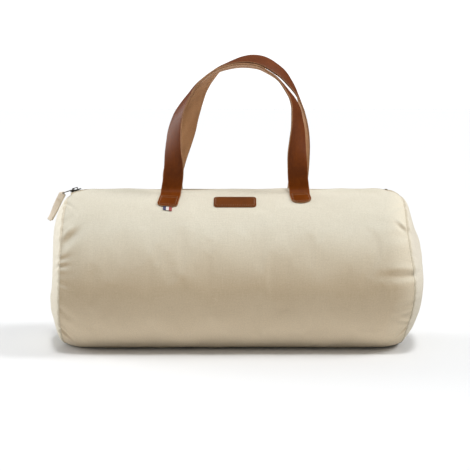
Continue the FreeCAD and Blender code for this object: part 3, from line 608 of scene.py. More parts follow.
def leather_material(name, light, mid, dark, rough, crease):
    """Smooth leather with fine pores; crease adds a line beside each strap edge."""
    mat = Shader(name)
    vec = mat.uv()
    cell = mat.node("ShaderNodeTexVoronoi", feature="DISTANCE_TO_EDGE")
    mat.link(mat.scaled(vec, (1.9, 1.9, 1)), cell.inputs["Vector"])
    cell.inputs["Scale"].default_value = 1.0
    pore = mat.noise(vec, scale=2.6, detail=3.0, rough=0.6)
    cloud = mat.noise(vec, stretch=(0.045, 0.016, 1), detail=3.0, distortion=0.3)
    mottle = mat.noise(vec, stretch=(0.30, 0.16, 1), detail=4.0, rough=0.6, distortion=0.3)
    tone = mat.weighted((cloud, 0.62), (mottle, 0.38))
    relief = mat.weighted((mat.fit(cell.outputs["Distance"], (0.0, 0.2)), 0.6), (pore, 0.5))
    specular = 0.12
    if crease:
        across, along, _ = mat.split(vec)
        across = mat.math("ABSOLUTE", across)
        tone = mat.add(tone, mat.fit(across, (12.4, 14.9), to=(0.0, 0.16)))
        off_line = mat.math("ABSOLUTE", mat.math("SUBTRACT", across, 13.2))
        line = mat.math("SUBTRACT", 1.0, mat.fit(off_line, (0.0, 0.35)))
        relief = mat.math("SUBTRACT", relief, mat.times(line, 1.2))
        specular = mat.fit(along, (40.0, 92.0), to=(0.05, 0.24))
    colour = mat.ramp(mat.fit(tone, (0.28, 0.78)), [(0.0, dark), (0.5, mid), (1.0, light)])
    if crease:
        colour = mat.mix(mat.times(line, 0.3), colour, dark)
    patchy = mat.weighted((pore, 0.4), (mottle, 0.6))
    return mat.finish(
        Base_Color=colour,
        Roughness=mat.fit(patchy, (0.3, 0.7), to=(rough - 0.05, rough + 0.09)),
        Normal=mat.bump(relief, strength=0.16, distance=0.00025),
        Specular_IOR_Level=specular,
    )


def flesh_material(name, light, mid, dark):
    """The suede-like back of the leather."""
    mat = Shader(name)
    vec = mat.uv()
    nap = mat.noise(vec, stretch=(1.5, 0.9, 1), detail=5.0, rough=0.7)
    cloud = mat.noise(vec, stretch=(0.04, 0.012, 1))
    tone = mat.fit(mat.weighted((nap, 0.55), (cloud, 0.45)), (0.34, 0.66))
    fibre = mat.noise(vec, stretch=(2.6, 1.4, 1), detail=4.0, rough=0.75)
    return mat.finish(
        Base_Color=mat.ramp(tone, [(0.0, dark), (0.5, mid), (1.0, light)]),
        Roughness=0.9,
        Normal=mat.bump(fibre, strength=0.45, distance=0.0005),
        Sheen_Weight=0.25,
        Sheen_Roughness=0.45,
        Specular_IOR_Level=0.2,
    )


def edge_material(name, light, dark):
    """The cut edge of the leather: pale fibres in thin layers."""
    mat = Shader(name)
    vec = mat.uv()
    layers = mat.noise(vec, stretch=(3.0, 0.12, 1), detail=4.0, rough=0.6)
    patches = mat.noise(vec, stretch=(0.2, 0.6, 1), detail=3.0, rough=0.6)
    tone = mat.fit(mat.weighted((layers, 0.5), (patches, 0.5)), (0.35, 0.65))
    return mat.finish(
        Base_Color=mat.ramp(tone, [(0.0, dark), (1.0, light)]),
        Roughness=0.7,
        Normal=mat.bump(layers, strength=0.4, distance=0.0003),
    )


def metal_material(name, base, shine, rough):
    """Dull plated metal with fine brushing."""
    mat = Shader(name)
    vec = mat.object_mm()
    brush = mat.noise(vec, stretch=(0.4, 7.0, 3.0), detail=3.0, rough=0.6)
    stain = mat.noise(vec, scale=0.8, detail=4.0, rough=0.6)
    tone = mat.fit(mat.weighted((brush, 0.5), (stain, 0.5)), (0.35, 0.65))
    return mat.finish(
        Base_Color=mat.mix(tone, base, shine),
        Metallic=0.85,
        Roughness=mat.fit(brush, (0.3, 0.7), to=(rough - 0.08, rough + 0.12)),
        Normal=mat.bump(brush, strength=0.15, distance=0.0002),
    )


def thread_material(name, light, dark):
    """Twisted sewing thread."""
    mat = Shader(name)
    vec = mat.object_mm()
    twist = mat.node("ShaderNodeTexWave", wave_type="BANDS", bands_direction="DIAGONAL")
    mat.link(vec, twist.inputs["Vector"])
    twist.inputs["Scale"].default_value = 0.9
    twist.inputs["Distortion"].default_value = 1.0
    twist = twist.outputs["Fac"]
    tone = mat.times(mat.add(twist, mat.noise(vec, scale=0.6, detail=3.0)), 0.5)
    return mat.finish(
        Base_Color=mat.mix(tone, dark, light),
        Roughness=0.75,
        Normal=mat.bump(twist, strength=0.3, distance=0.0002),
        Sheen_Weight=0.3,
    )


def tape_material(name, light, dark):
    """Herringbone tape."""
    mat = Shader(name)
    vec = mat.object_mm()
    x, y, _ = mat.split(vec)
    slanted = mat.add(x, mat.math("PINGPONG", y, 2.2))
    rib = mat.math("SINE", mat.times(slanted, math.tau / 1.1))
    speck = mat.noise(vec, scale=0.5, detail=4.0, rough=0.6)
    tone = mat.weighted((mat.fit(rib, (-1.0, 1.0)), 0.55), (speck, 0.45))
    return mat.finish(
        Base_Color=mat.mix(tone, dark, light),
        Roughness=0.85,
        Normal=mat.bump(rib, strength=0.35, distance=0.0003),
        Sheen_Weight=0.2,
    )


def ribbon_material(name):
    """Three woven stripes, blue, white and red, with fine cross ribs."""
    mat = Shader(name)
    u, v, _ = mat.split(mat.uv())
    colours = [(0.0, (30, 33, 84)), (0.345, (216, 208, 202)), (0.665, (150, 34, 28))]
    stripes = mat.ramp(u, colours, mode="CONSTANT")
    rib = mat.math("SINE", mat.times(v, math.tau / 0.7))
    groove = mat.fit(rib, (-1.0, 1.0), to=(0.35, 0.0))
    return mat.finish(
        Base_Color=mat.mix(groove, stripes, mat.mix(0.25, stripes, (90, 80, 76))),
        Roughness=0.6,
        Normal=mat.bump(rib, strength=0.4, distance=0.0002),
        Sheen_Weight=0.3,
    )


# canvas, canvas_inside and canvas_pull carry painted light and shade by facing; their side
# colours are painted shade.
canvas = canvas_material("canvas")
# The round ends are copies of one canvas with painted light: the left end is painted paler than
# the right.
canvas_left = canvas_material("canvas_left_end", end=((216, 209, 192), (228, 222, 206)))
canvas_right = canvas_material("canvas_right_end", end=((206, 198, 181), (217, 210, 194)))
canvas_in = canvas_material("canvas_inside", light=(196, 184, 160), dark=(170, 156, 132))
canvas_pull = canvas_material(
    "canvas_pull", light=(228, 217, 200), dark=(198, 182, 160),
    side=(228, 216, 199), shaded_side_dark=(202, 186, 164), pitch=0.8,
)
binding_tape = tape_material("binding_tape", light=(188, 174, 146), dark=(150, 136, 108))
leather = leather_material(
    "leather_grain", light=(121, 60, 10), mid=(104, 49, 7), dark=(83, 37, 6),
    rough=0.44, crease=True,
)
patch_leather = leather_material(
    "leather_patch_grain", light=(112, 57, 10), mid=(98, 49, 8), dark=(83, 41, 7),
    rough=0.55, crease=False,
)
flesh = flesh_material(
    "leather_back", light=(208, 162, 122), mid=(182, 137, 98), dark=(132, 92, 60)
)
edge = edge_material("leather_edge", light=(168, 124, 84), dark=(112, 74, 46))
backing = flesh_material(
    "backing_leather", light=(176, 146, 116), mid=(150, 120, 92), dark=(110, 84, 60)
)
tooth_metal = metal_material(
    "tooth_metal", base=(150, 138, 112), shine=(190, 176, 146), rough=0.45
)
slider_metal = metal_material("slider_metal", base=(56, 53, 46), shine=(84, 80, 71), rough=0.6)
puller_metal = metal_material(
    "puller_metal", base=(92, 89, 82), shine=(126, 122, 113), rough=0.55
)
thread_pale = thread_material("sewing_thread", light=(222, 204, 170), dark=(176, 154, 116))
thread_tan = thread_material("sewing_thread_tan", light=(158, 108, 66), dark=(112, 70, 38))
zip_tape = tape_material("zip_tape", light=(206, 194, 170), dark=(170, 156, 130))
ribbon = ribbon_material("ribbon")

# ---------------------------------------------------------------- cloth pass
# The shell is cut a little larger than the shape its seams hold. A pressure-filled cloth run
# on a coarse copy finds where the spare canvas gathers; its movement is capped and added to
# the fine meshes.
BARREL_GRID = (90, 132)  # coarse points along and round
END_GRID = (22, 120)  # coarse points rim to middle and round
END_INNER_R = 3.0
LAST_FRAME = 20
SHIFT_CAP = 3.2


def cubic(grid, row, col, wrap):
    """Smooth reading of a coarse grid at fractional places."""
    rows, cols = grid.shape
    row, col = np.broadcast_arrays(np.asarray(row, float), np.asarray(col, float))
    i = np.clip(np.floor(row).astype(int), 0, rows - 2)
    j = np.floor(col).astype(int)
    if not wrap:
        j = np.clip(j, 0, cols - 2)

    def weights(t):
        return (
            -0.5 * t + t * t - 0.5 * t**3,
            1 - 2.5 * t * t + 1.5 * t**3,
            0.5 * t + 2 * t * t - 1.5 * t**3,
            -0.5 * t * t + 0.5 * t**3,
        )

    row_weights = weights(np.clip(row - i, 0, 1))
    col_weights = weights(np.clip(col - j, 0, 1))
    out = np.zeros_like(row)
    for a in range(4):
        ii = np.clip(i + a - 1, 0, rows - 1)
        for b in range(4):
            jj = (j + b - 1) % cols if wrap else np.clip(j + b - 1, 0, cols - 1)
            out += row_weights[a] * col_weights[b] * grid[ii, jj]
    return out


def without_drift(grid, wrap, passes=30):
    """The grid less its own heavily averaged copy."""
    wide = grid.copy()
    for _ in range(passes):
        wide[1:-1] = 0.25 * wide[:-2] + 0.5 * wide[1:-1] + 0.25 * wide[2:]
        if wrap:
            wide = 0.25 * np.roll(wide, 1, 1) + 0.5 * wide + 0.25 * np.roll(wide, -1, 1)
        else:
            wide[:, 1:-1] = 0.25 * wide[:, :-2] + 0.5 * wide[:, 1:-1] + 0.25 * wide[:, 2:]
    return grid - wide


def add_cloth(ob, held, spare):
    """Pressure-filled cloth, pinned by the held weights and oversized by spare."""
    group = ob.vertex_groups.new(name="held")
    for i, weight in enumerate(held):
        if weight > 0.02:
            group.add([i], float(min(1.0, weight)), "REPLACE")
    cloth = ob.modifiers.new("stuffed", "CLOTH")
    settings = cloth.settings
    settings.quality = 5
    settings.mass = 0.25
    settings.tension_stiffness = settings.compression_stiffness = 22
    settings.shear_stiffness = 7
    settings.bending_stiffness = 0.35
    settings.tension_damping = settings.compression_damping = settings.shear_damping = 12
    settings.air_damping = 6
    settings.vertex_group_mass = "held"
    settings.use_pressure = True
    settings.uniform_pressure_force = 4.0
    settings.shrink_min = settings.shrink_max = -spare
    settings.effector_weights.gravity = 0.0
    cloth.collision_settings.use_collision = False
    cloth.point_cache.frame_start = 1
    cloth.point_cache.frame_end = LAST_FRAME


def coarse_barrel():
    along = np.linspace(-GRID_X, GRID_X, BARREL_GRID[0])
    around = np.linspace(MOUTH_A, math.tau - MOUTH_A, BARREL_GRID[1])
    x, ang = np.meshgrid(along, around, indexing="ij")
    rest = surface(x, ang)
    held = np.maximum(smooth((np.abs(x) - (SEAM_X - 7)) / 5), 1 - keep_clear(x, ang))
    held = np.maximum(held, smooth((4.0 - rest[..., 2]) / 3.0))
    ob = mesh_object("sim_barrel", rest.reshape(-1, 3), grid_faces(*BARREL_GRID))
    add_cloth(ob, held.ravel(), spare=0.035)
    return ob, rest


def coarse_end(side):
    radii = np.linspace(SEAM_R, END_INNER_R, END_GRID[0])
    around = np.linspace(0, math.tau, END_GRID[1], endpoint=False)
    r, ang = np.meshgrid(radii, around, indexing="ij")
    out = BULGE[side] * np.sqrt(np.maximum(1 - (r / SEAM_R) ** 2.2, 0)) ** 1.15
    rest = np.stack([side * (END_X + out), -r * np.sin(ang), AXIS_Z + r * np.cos(ang)], -1)
    name = "sim_end_left" if side < 0 else "sim_end_right"
    faces = grid_faces(*END_GRID, wrap=True, flip=side < 0)
    ob = mesh_object(name, rest.reshape(-1, 3), faces)
    add_cloth(ob, smooth((r - 109.0) / 3.0).ravel(), spare=0.04)
    return ob, rest


def cloth_pass():
    """Outward movement on the three coarse grids: barrel, left end, right end."""
    scene = bpy.context.scene
    scene.frame_start = 1
    scene.frame_end = LAST_FRAME
    pieces = [(0, *coarse_barrel()), (-1, *coarse_end(-1)), (1, *coarse_end(1))]
    for f in range(1, LAST_FRAME + 1):
        scene.frame_set(f)
    graph = bpy.context.evaluated_depsgraph_get()
    shifts = []
    for side, ob, rest in pieces:
        mesh = ob.evaluated_get(graph).data
        co = np.empty(len(mesh.vertices) * 3)
        mesh.vertices.foreach_get("co", co)
        move = co.reshape(rest.shape) / MM - rest
        if side:
            outward = move[..., 0] * side
        else:
            radial = rest.copy()
            radial[..., 0] = 0
            radial[..., 2] -= AXIS_Z
            outward = np.sum(move * unit(radial), -1)
        shifts.append(without_drift(outward, wrap=side != 0))
    scene.frame_set(1)
    for _, ob, _ in pieces:
        mesh = ob.data
        bpy.data.objects.remove(ob)
        bpy.data.meshes.remove(mesh)
    return shifts


def capped(shift):
    return SHIFT_CAP * np.tanh(shift / SHIFT_CAP)


def barrel_shift(x, ang):
    """Radial movement of the cloth pass at a point of the barrel."""
    row = (x + GRID_X) / (2 * GRID_X) * (BARREL_GRID[0] - 1)
    turn = np.mod(ang, math.tau) - MOUTH_A
    col = turn / (math.tau - 2 * MOUTH_A) * (BARREL_GRID[1] - 1)
    return capped(cubic(cloth_shift[0], row, col, wrap=False))


def end_shift(side, r, ang):
    """Outward movement of the cloth pass at a point of a round end."""
    if cloth_shift is None:
        return 0.0
    row = (SEAM_R - r) / (SEAM_R - END_INNER_R) * (END_GRID[0] - 1)
    col = np.mod(ang, math.tau) / math.tau * END_GRID[1]
    return capped(cubic(cloth_shift[1 if side < 0 else 2], row, col, wrap=True))


cloth_shift = cloth_pass()


# ---------------------------------------------------------------- canvas barrel
def make_barrel():
    round_count = 300
    around = np.linspace(MOUTH_A, math.tau - MOUTH_A, round_count)
    half = np.concatenate([
        np.linspace(0, 200, 56),
        np.linspace(200, GRID_X, 34)[1:],
        [SEAM_X - 0.2, SEAM_X + 1.3],
    ])
    along = np.concatenate([-half[::-1][:-1], half])
    x, ang = np.meshgrid(along, around, indexing="ij")
    points = surface(x, ang)
    # the last rows turn into the seam
    turn = smooth((np.abs(x) - GRID_X) / 2.4)[..., None]
    axis = np.array([0, AXIS_Z])
    radial = points[..., 1:] - axis
    r = np.linalg.norm(radial, axis=-1, keepdims=True)
    points[..., 1:] = axis + radial * (1 - 0.25 * turn**2 / r)
    points[..., 2] = np.maximum(points[..., 2], FLOOR_GAP)
    uvs = np.stack([x, ang * BARREL_R], -1).reshape(-1, 2)
    faces = grid_faces(len(along), round_count)
    ob = mesh_object("canvas_barrel", points.reshape(-1, 3), faces, uvs, [canvas, canvas_in])
    thicken(ob, 1.6, offset=-1.0, inner_slot=1)
    attach(ob, "canvas", "body_panel")


make_barrel()

# ---------------------------------------------------------------- round ends
# profiles of the stuffed ends, (radius, outwards): above the middle, then below it
PROFILES = {
    -1: (
        ((0, 24.0), (29, 23.8), (55, 23.8), (75, 21.6), (96, 15.2), (105, 9.2), (110.5, 3.2),
         (112, 0.9)),
        ((0, 24.0), (20, 28.0), (42, 30.0), (65, 25.6), (83, 18.0), (100, 11.0), (107, 7.4),
         (110.5, 3.4), (112, 0.9)),
    ),
    1: (
        ((0, 30.6), (27, 32.2), (50, 29.6), (72, 21.2), (90, 15.4), (102, 10.6), (107, 7.4),
         (110.5, 3.2), (112, 0.9)),
        ((0, 30.6), (20, 28.8), (53, 26.2), (73, 22.8), (92, 16.2), (103, 8.6), (110.5, 2.8),
         (112, 0.9)),
    ),
}
# (outwards, radius) of the hem that turns in behind each end
HEM = [(-6.0, 109.0), (-2.5, 109.6), (-0.7, 110.8), (-0.1, 111.6)]


def profile_height(profile, r):
    """A profile read at r, smoothed everywhere but near the rim."""
    radii = np.linspace(-60, SEAM_R, 700)
    height = np.interp(np.abs(radii), [p[0] for p in profile], [p[1] for p in profile])
    reach = 28
    beyond = 2 * height[-1] - height[-2 : -reach - 2 : -1]
    padded = np.concatenate([np.full(reach, height[0]), height, beyond])
    rounded = np.convolve(padded, window(reach), "valid")
    rim = smooth((radii - 100) / 10)
    return np.interp(r, radii, rounded * (1 - rim) + height * rim)


def end_height(side, r, cos):
    above, below = (profile_height(p, r) for p in PROFILES[side])
    share = 0.5 + 0.5 * cos
    flat = (0.25 if side < 0 else 0.15) * (1 - cos**2) * smooth(r / 40)
    return (above * share + below * (1 - share)) * (1 - flat)


def end_relief(side, r, ang, y, z):
    """Gathers at the rim, a soft overall wobble and the cloth pass."""
    inward = SEAM_R - r
    draw = np.random.default_rng(90 + side)
    out = np.zeros_like(r)
    at = 0.0
    while at < DRAW_TURN:
        at += draw.uniform(0.08, 0.22)
        da = signed(ang - at - draw.uniform(-0.003, 0.003) * inward)
        depth = draw.uniform(0.3, 1.3)
        width = draw.uniform(0.014, 0.035) * (1 + inward / 30)
        fade = np.exp(-np.maximum(inward, 0) / draw.uniform(10, 26))
        out -= depth * bell(da, width) * fade * smooth(inward / 3)
    body = smooth(inward / 24)
    broad = wave_noise(BROAD_WAVES, y * 1.6 + 300 * side, z * 1.6)
    out += body * (0.9 * broad + 0.25 * wave_noise(MID_WAVES, y, z + 90 * side))
    out += body * 0.8 * end_shift(side, r, ang)
    if side < 0:  # the hanging pull rests in a shallow hollow
        out -= 5.5 * bell(y, 15.0) * smooth((z - 46) / 16) * smooth((106 - z) / 12)
    return out


def make_end(name, side, mat, node):
    radii = np.concatenate([np.linspace(111.9, 106, 9), np.linspace(104.5, 1.2, 44)])
    rows = np.array(HEM + [(1.0, r) for r in radii])
    count = 300
    around = np.linspace(0, math.tau, count, endpoint=False)
    out, ang = np.meshgrid(rows[:, 0], around, indexing="ij")
    r, _ = np.meshgrid(rows[:, 1], around, indexing="ij")
    rim = canvas_offset(np.full_like(ang, side * SEAM_X), ang) * smooth((r - 96) / 14)
    y = -(r + rim) * np.sin(ang)
    z = (r + rim) * np.cos(ang)
    domed = end_height(side, r, np.cos(ang)) + end_relief(side, r, ang, y, z)
    out = np.where(out > 0.5, np.maximum(domed, 0.6), out)  # the hem rows stay
    points = np.stack([side * (END_X + out), y, AXIS_Z + z], -1)
    points[..., 0] += lean(np.full_like(out, side * 250.0), points[..., 2])
    points[..., 2] = np.maximum(points[..., 2], FLOOR_GAP)
    middle = [[points[-1, :, 0].mean(), 0, AXIS_Z]]
    verts = np.concatenate([points.reshape(-1, 3), middle])
    faces = grid_faces(len(rows), count, wrap=True, flip=side < 0)
    last = (len(rows) - 1) * count
    for j in range(count):
        tri = (last + j, last + (j + 1) % count, len(verts) - 1)
        faces.append(tri[::-1] if side < 0 else tri)
    uvs = np.concatenate([np.stack([y, z], -1).reshape(-1, 2), [[0, 0]]])
    ob = mesh_object(name, verts, faces, uvs, [mat, canvas_in])
    thicken(ob, 1.4, offset=-1.0, inner_slot=1)
    attach(ob, "canvas", node)


make_end("canvas_end_left", -1, canvas_left, "end_panel_left")
make_end("canvas_end_right", 1, canvas_right, "end_panel_right")

# ---------------------------------------------------------------- stitches
# along one dash: lift and thickness at five sections, in shares of the thread radius
DASH_LIFT = (-0.28, 0.12, 0.26, 0.12, -0.28)
DASH_SIZE = (0.45, 1.0, 1.08, 1.0, 0.45)


def make_stitches(name, node, runs, mat, pitch, gap, radius, rides="bag"):
    """Dashes of thread along each run of (points, normals)."""
    verts = []
    faces = []
    for points, normals in runs:
        along = run_length(points)
        count = max(1, int(round(along[-1] / pitch)))
        step = along[-1] / count
        for i in range(count):
            at = np.linspace(i * step + gap / 2, (i + 1) * step - gap / 2, 5)
            centre, normal = (
                np.stack([np.interp(at, along, rows[:, k]) for k in range(3)], -1)
                for rows in (points, normals)
            )
            normal = unit(normal)
            side = np.cross(unit(np.gradient(centre, axis=0)), normal)
            base = len(verts)
            for k in range(5):
                lift = DASH_LIFT[k] * radius * 1.6 + radius * 0.35
                for m in range(6):
                    q = math.tau * m / 6
                    spoke = math.cos(q) * side[k] + 0.85 * math.sin(q) * normal[k]
                    verts.append(
                        centre[k] + normal[k] * lift + radius * DASH_SIZE[k] * spoke
                    )
            faces += grid_faces(5, 6, wrap=True, base=base)
            faces.append(tuple(base + m for m in range(6)))
            faces.append(tuple(base + 24 + m for m in range(5, -1, -1)))
    ob = mesh_object(name, verts, faces, mats=[mat])
    attach(ob, "thread", node, rides=rides)


def rounded_path(width, height, corner, corner_steps=10):
    """Closed outline of a rounded rectangle, filled in about every millimetre."""
    cx, cy = width / 2 - corner, height / 2 - corner
    points = []
    for quarter, (mx, my) in enumerate(((cx, cy), (-cx, cy), (-cx, -cy), (cx, -cy))):
        for t in np.linspace(0, math.pi / 2, corner_steps):
            a = t + quarter * math.pi / 2
            points.append((mx + corner * math.cos(a), my + corner * math.sin(a)))
    points.append(points[0])
    out = []
    for a, b in zip(points, points[1:]):
        count = max(1, int(math.dist(a, b) / 1.0))
        out += [
            (a[0] + (b[0] - a[0]) * i / count, a[1] + (b[1] - a[1]) * i / count)
            for i in range(count)
        ]
    out.append(points[-1])
    return np.array(out)


def make_zip_seam(face, side):
    """A row of stitches beside the zip; side is the sign of the angle."""
    x = np.linspace(-236, 236, 400)
    ang = np.full_like(x, side * 12.5 / BARREL_R)
    normals = np.stack([np.zeros_like(ang), -np.sin(ang), np.cos(ang)], -1)
    runs = [(surface(x, ang, off=0.05), normals)]
    make_stitches("zip_seam_" + face, "zip_stitching_" + face, runs, thread_pale,
                  pitch=3.0, gap=0.8, radius=0.3)


make_zip_seam("front", 1)
make_zip_seam("rear", -1)

# ---------------------------------------------------------------- leather patch
PATCH_W, PATCH_H = 62.0, 27.0
PATCH_THICK = 2.0
PATCH_CORNER = 5.0
PATCH_R = BARREL_R + 0.02  # radius of its underside


def on_patch(x, up, off):
    """Points of the patch plane wrapped round the barrel."""
    a = PATCH_A - up / (PATCH_R + PATCH_THICK / 2)
    r = PATCH_R + off
    return np.stack([x, -r * np.sin(a), AXIS_Z + r * np.cos(a)], -1)


def make_patch():
    nx, ny = 48, 24
    x, y = np.meshgrid(
        np.linspace(-1, 1, nx) * PATCH_W / 2, np.linspace(-1, 1, ny) * PATCH_H / 2,
        indexing="ij",
    )
    to_edge = np.minimum(PATCH_W / 2 - np.abs(x), PATCH_H / 2 - np.abs(y))
    # pull the square corner points on to the rounded outline
    inner_x, inner_y = PATCH_W / 2 - PATCH_CORNER, PATCH_H / 2 - PATCH_CORNER
    over_x = np.maximum(np.abs(x) - inner_x, 0)
    over_y = np.maximum(np.abs(y) - inner_y, 0)
    corner = (over_x > 0) & (over_y > 0)
    pull = np.maximum(over_x, over_y) / np.maximum(np.hypot(over_x, over_y), 1e-9)
    x = np.sign(x) * np.where(corner, inner_x + over_x * pull, np.abs(x))
    y = np.sign(y) * np.where(corner, inner_y + over_y * pull, np.abs(y))
    # rounded rim, slight bulge, and a groove along the stitches
    lift = PATCH_THICK - 0.75 * np.clip(1 - to_edge / 1.1, 0, 1) ** 2
    lift = lift + 0.3 * smooth(to_edge / 7) - 0.35 * bell(to_edge - 3.0, 0.8)
    top = on_patch(x, y, lift).reshape(-1, 3)
    bottom = on_patch(x, y, np.zeros_like(x)).reshape(-1, 3)
    count = nx * ny
    top_faces = grid_faces(nx, ny, flip=True)
    bottom_faces = grid_faces(nx, ny, base=count)
    ring = [i * ny for i in range(nx)]
    ring += [(nx - 1) * ny + j for j in range(1, ny)]
    ring += [i * ny + ny - 1 for i in range(nx - 2, -1, -1)]
    ring += list(range(ny - 2, 0, -1))
    rim_faces = [(count + a, count + b, b, a) for a, b in zip(ring, ring[1:] + ring[:1])]
    slots = [0] * len(top_faces) + [1] * len(bottom_faces) + [2] * len(rim_faces)
    uvs = np.stack([x, y], -1).reshape(-1, 2)
    ob = mesh_object(
        "leather_patch_plate", np.concatenate([top, bottom]),
        top_faces + bottom_faces + rim_faces, np.concatenate([uvs, uvs]),
        [patch_leather, flesh, edge], slots,
    )
    attach(ob, "leather", "leather_patch")

    path = rounded_path(PATCH_W - 6, PATCH_H - 6, 3.4)
    points = on_patch(path[:, 0], path[:, 1], 1.95)
    normals = unit((points - [0, 0, AXIS_Z]) * [0, 1, 1])
    make_stitches("patch_stitching", "leather_patch_stitching", [(points, normals)],
                  thread_tan, pitch=3.2, gap=0.9, radius=0.3)


make_patch()

# ---------------------------------------------------------------- handle straps
# Stations of the free part of each strap, left to right: x, y, z and how far the face is
# turned from facing out of the bag towards the outside of the arch (deg).
FRONT_STATIONS = [
    (-91.4, -29.6, 254, 6), (-90.3, -32.6, 271, 16), (-91, -32.8, 288.4, 31),
    (-90.5, -30.6, 305.9, 41), (-89, -27, 323.4, 48), (-85.1, -23.4, 340.9, 59),
    (-80.9, -21.4, 351.9, 66), (-74.2, -19.6, 364.3, 74), (-66.2, -18, 376.8, 82),
    (-58.4, -16.3, 387.5, 87), (-49.1, -14.8, 396, 91), (-31.1, -12.6, 408.4, 96),
    (-10.4, -10.8, 415.6, 98), (11.9, -9.6, 418.4, 98), (34.1, -9.6, 415.8, 96),
    (48.1, -10.2, 408.7, 91), (59.9, -11.4, 401.1, 89), (70.2, -13.4, 390.5, 85),
    (79, -16, 378.7, 80), (85.4, -18.5, 368.8, 75), (90.4, -21.5, 354.6, 65),
    (91.9, -25, 339.9, 57), (92.9, -28, 323.4, 46), (92.1, -31, 305.9, 35),
    (91.4, -33, 288.4, 22), (92.2, -32.6, 270.8, 10), (93, -29.6, 254, 4),
]
REAR_STATIONS = [
    (-95.6, 30, 254, 5), (-92.6, 32.6, 267, 9), (-87, 32.6, 285.3, 14),
    (-80.2, 31.2, 303.7, 20), (-73.8, 29.4, 322, 27), (-68.7, 27.6, 340.2, 36),
    (-61.7, 24.8, 359.2, 47), (-53.8, 22, 377.8, 58), (-48.1, 20.8, 387.6, 63),
    (-39, 19.2, 399.4, 71), (-23.2, 16.4, 414.8, 83), (-10, 13.6, 421.8, 94),
    (3, 10.8, 426, 102), (14.5, 9.2, 428, 108), (25.4, 8.4, 428.4, 113),
    (38.5, 8.4, 426.2, 118), (50.9, 9, 420.8, 121), (66.3, 10.6, 410.6, 119),
    (74.5, 11.6, 403.2, 115.5), (81.2, 12.8, 394.8, 111), (87.7, 14.2, 386, 105),
    (92.7, 15.6, 377.4, 98), (98.2, 17.6, 363.5, 88), (101.8, 19.6, 346, 76),
    (103.6, 22, 322.2, 59), (102.4, 26.5, 299.3, 40), (99.8, 31, 276.2, 20),
    (97.8, 30.4, 256, 6),
]
HALF_W, HALF_T = 15.0, 1.5  # half width and half thickness of the strap
# angles from straight up: lower edge of each sewn end by (face, hand), the line where the
# strap leaves the canvas, and the upper end the splay is measured to
FOOT_LOW = {(-1, -1): 90 - 56.8, (-1, 1): 90 - 61.0, (1, -1): 90 - 61.0, (1, 1): 90 - 61.0}
FOOT_LEAVE = 90 - 71.5
FOOT_TOP = 90 - 77.6
FOOT_X = 96.0
SPLAY = math.radians(7.0)
GRAIN, FLESH, EDGE = 0, 1, 2  # material slots


def foot_stations(side, hand):
    """(position, face normal) up a sewn end."""
    low, leave, top = (
        math.radians(v) for v in (FOOT_LOW[(side, hand)], FOOT_LEAVE, FOOT_TOP)
    )
    rows = []
    for a in np.linspace(low, leave, 12):
        x = hand * (FOOT_X - (0.5 * (low + top) - a) * 124.0 * math.tan(SPLAY))
        normal = np.array([0, side * math.sin(a), math.cos(a)])
        centre_r = BARREL_R + 0.05 + HALF_T
        rows.append((np.array([x, 0, AXIS_Z]) + centre_r * normal, normal))
    return rows


def fold_stations(foot_end, target, side):
    """The easy bend from the canvas to straight up."""
    start, normal = foot_end
    lean_a = math.atan2(abs(normal[1]), normal[2])
    radius = (abs(start[1]) - abs(target[1])) / (1 - math.sin(lean_a))
    steps = 7
    arc = radius * (math.pi / 2 - lean_a) / steps
    y, z = abs(start[1]), start[2]
    rows = []
    for k in range(1, steps + 1):
        mid = lean_a + (math.pi / 2 - lean_a) * (k - 0.5) / steps
        y -= math.cos(mid) * arc
        z += math.sin(mid) * arc
        a = lean_a + (math.pi / 2 - lean_a) * k / steps
        share = smooth((z - start[2]) / (target[2] - start[2])) * 0.9
        x = start[0] + (target[0] - start[0]) * share
        rows.append((np.array([x, side * y, z]), np.array([0, side * math.sin(a), math.cos(a)])))
    return rows


def arch_stations(stations, side):
    points = np.array([s[:3] for s in stations], float)
    rows = []
    for p, t, station in zip(points, unit(np.gradient(points, axis=0)), stations):
        turn = math.radians(station[3])
        outside = np.cross(t, [0, 1, 0])
        normal = np.array([0, side, 0.0]) * math.cos(turn) + outside * math.sin(turn)
        rows.append((p, unit(normal - t * normal.dot(t))))
    return rows


def catmull_rom(p0, p1, p2, p3, t):
    return 0.5 * (
        (2 * p1)
        + (-p0 + p2) * t
        + (2 * p0 - 5 * p1 + 4 * p2 - p3) * t * t
        + (-p0 + 3 * p1 - 3 * p2 + p3) * t**3
    )


def strap_path(stations, side):
    """Centre line, face normals, width directions and running length."""
    left, right = foot_stations(side, -1), foot_stations(side, 1)
    arch = arch_stations(stations, side)
    rows = left + fold_stations(left[-1], arch[0][0], side) + arch
    rows += fold_stations(right[-1], arch[-1][0], side)[::-1] + right[::-1]
    knots = np.array([row[0] for row in rows])
    facing = np.array([row[1] for row in rows])
    along = run_length(knots)
    points = []
    normals = []
    for i in range(len(knots) - 1):
        before, after = max(i - 1, 0), min(i + 2, len(knots) - 1)
        count = max(1, int((along[i + 1] - along[i]) / 1.9))
        for k in range(count):
            t = k / count
            points.append(
                catmull_rom(knots[before], knots[i], knots[i + 1], knots[after], t)
            )
            normals.append(facing[i] * (1 - t) + facing[i + 1] * t)
    points = np.array(points + [knots[-1]])
    normals = np.array(normals + [facing[-1]])
    # even out the face direction a little, away from the sewn ends
    for _ in range(14):
        normals[12:-12] = (
            0.25 * normals[11:-13] + 0.5 * normals[12:-12] + 0.25 * normals[13:-11]
        )
    tangents = unit(np.gradient(points, axis=0))
    normals -= tangents * np.sum(normals * tangents, axis=1, keepdims=True)
    normals = unit(normals)
    return points, normals, np.cross(tangents, normals), run_length(points)


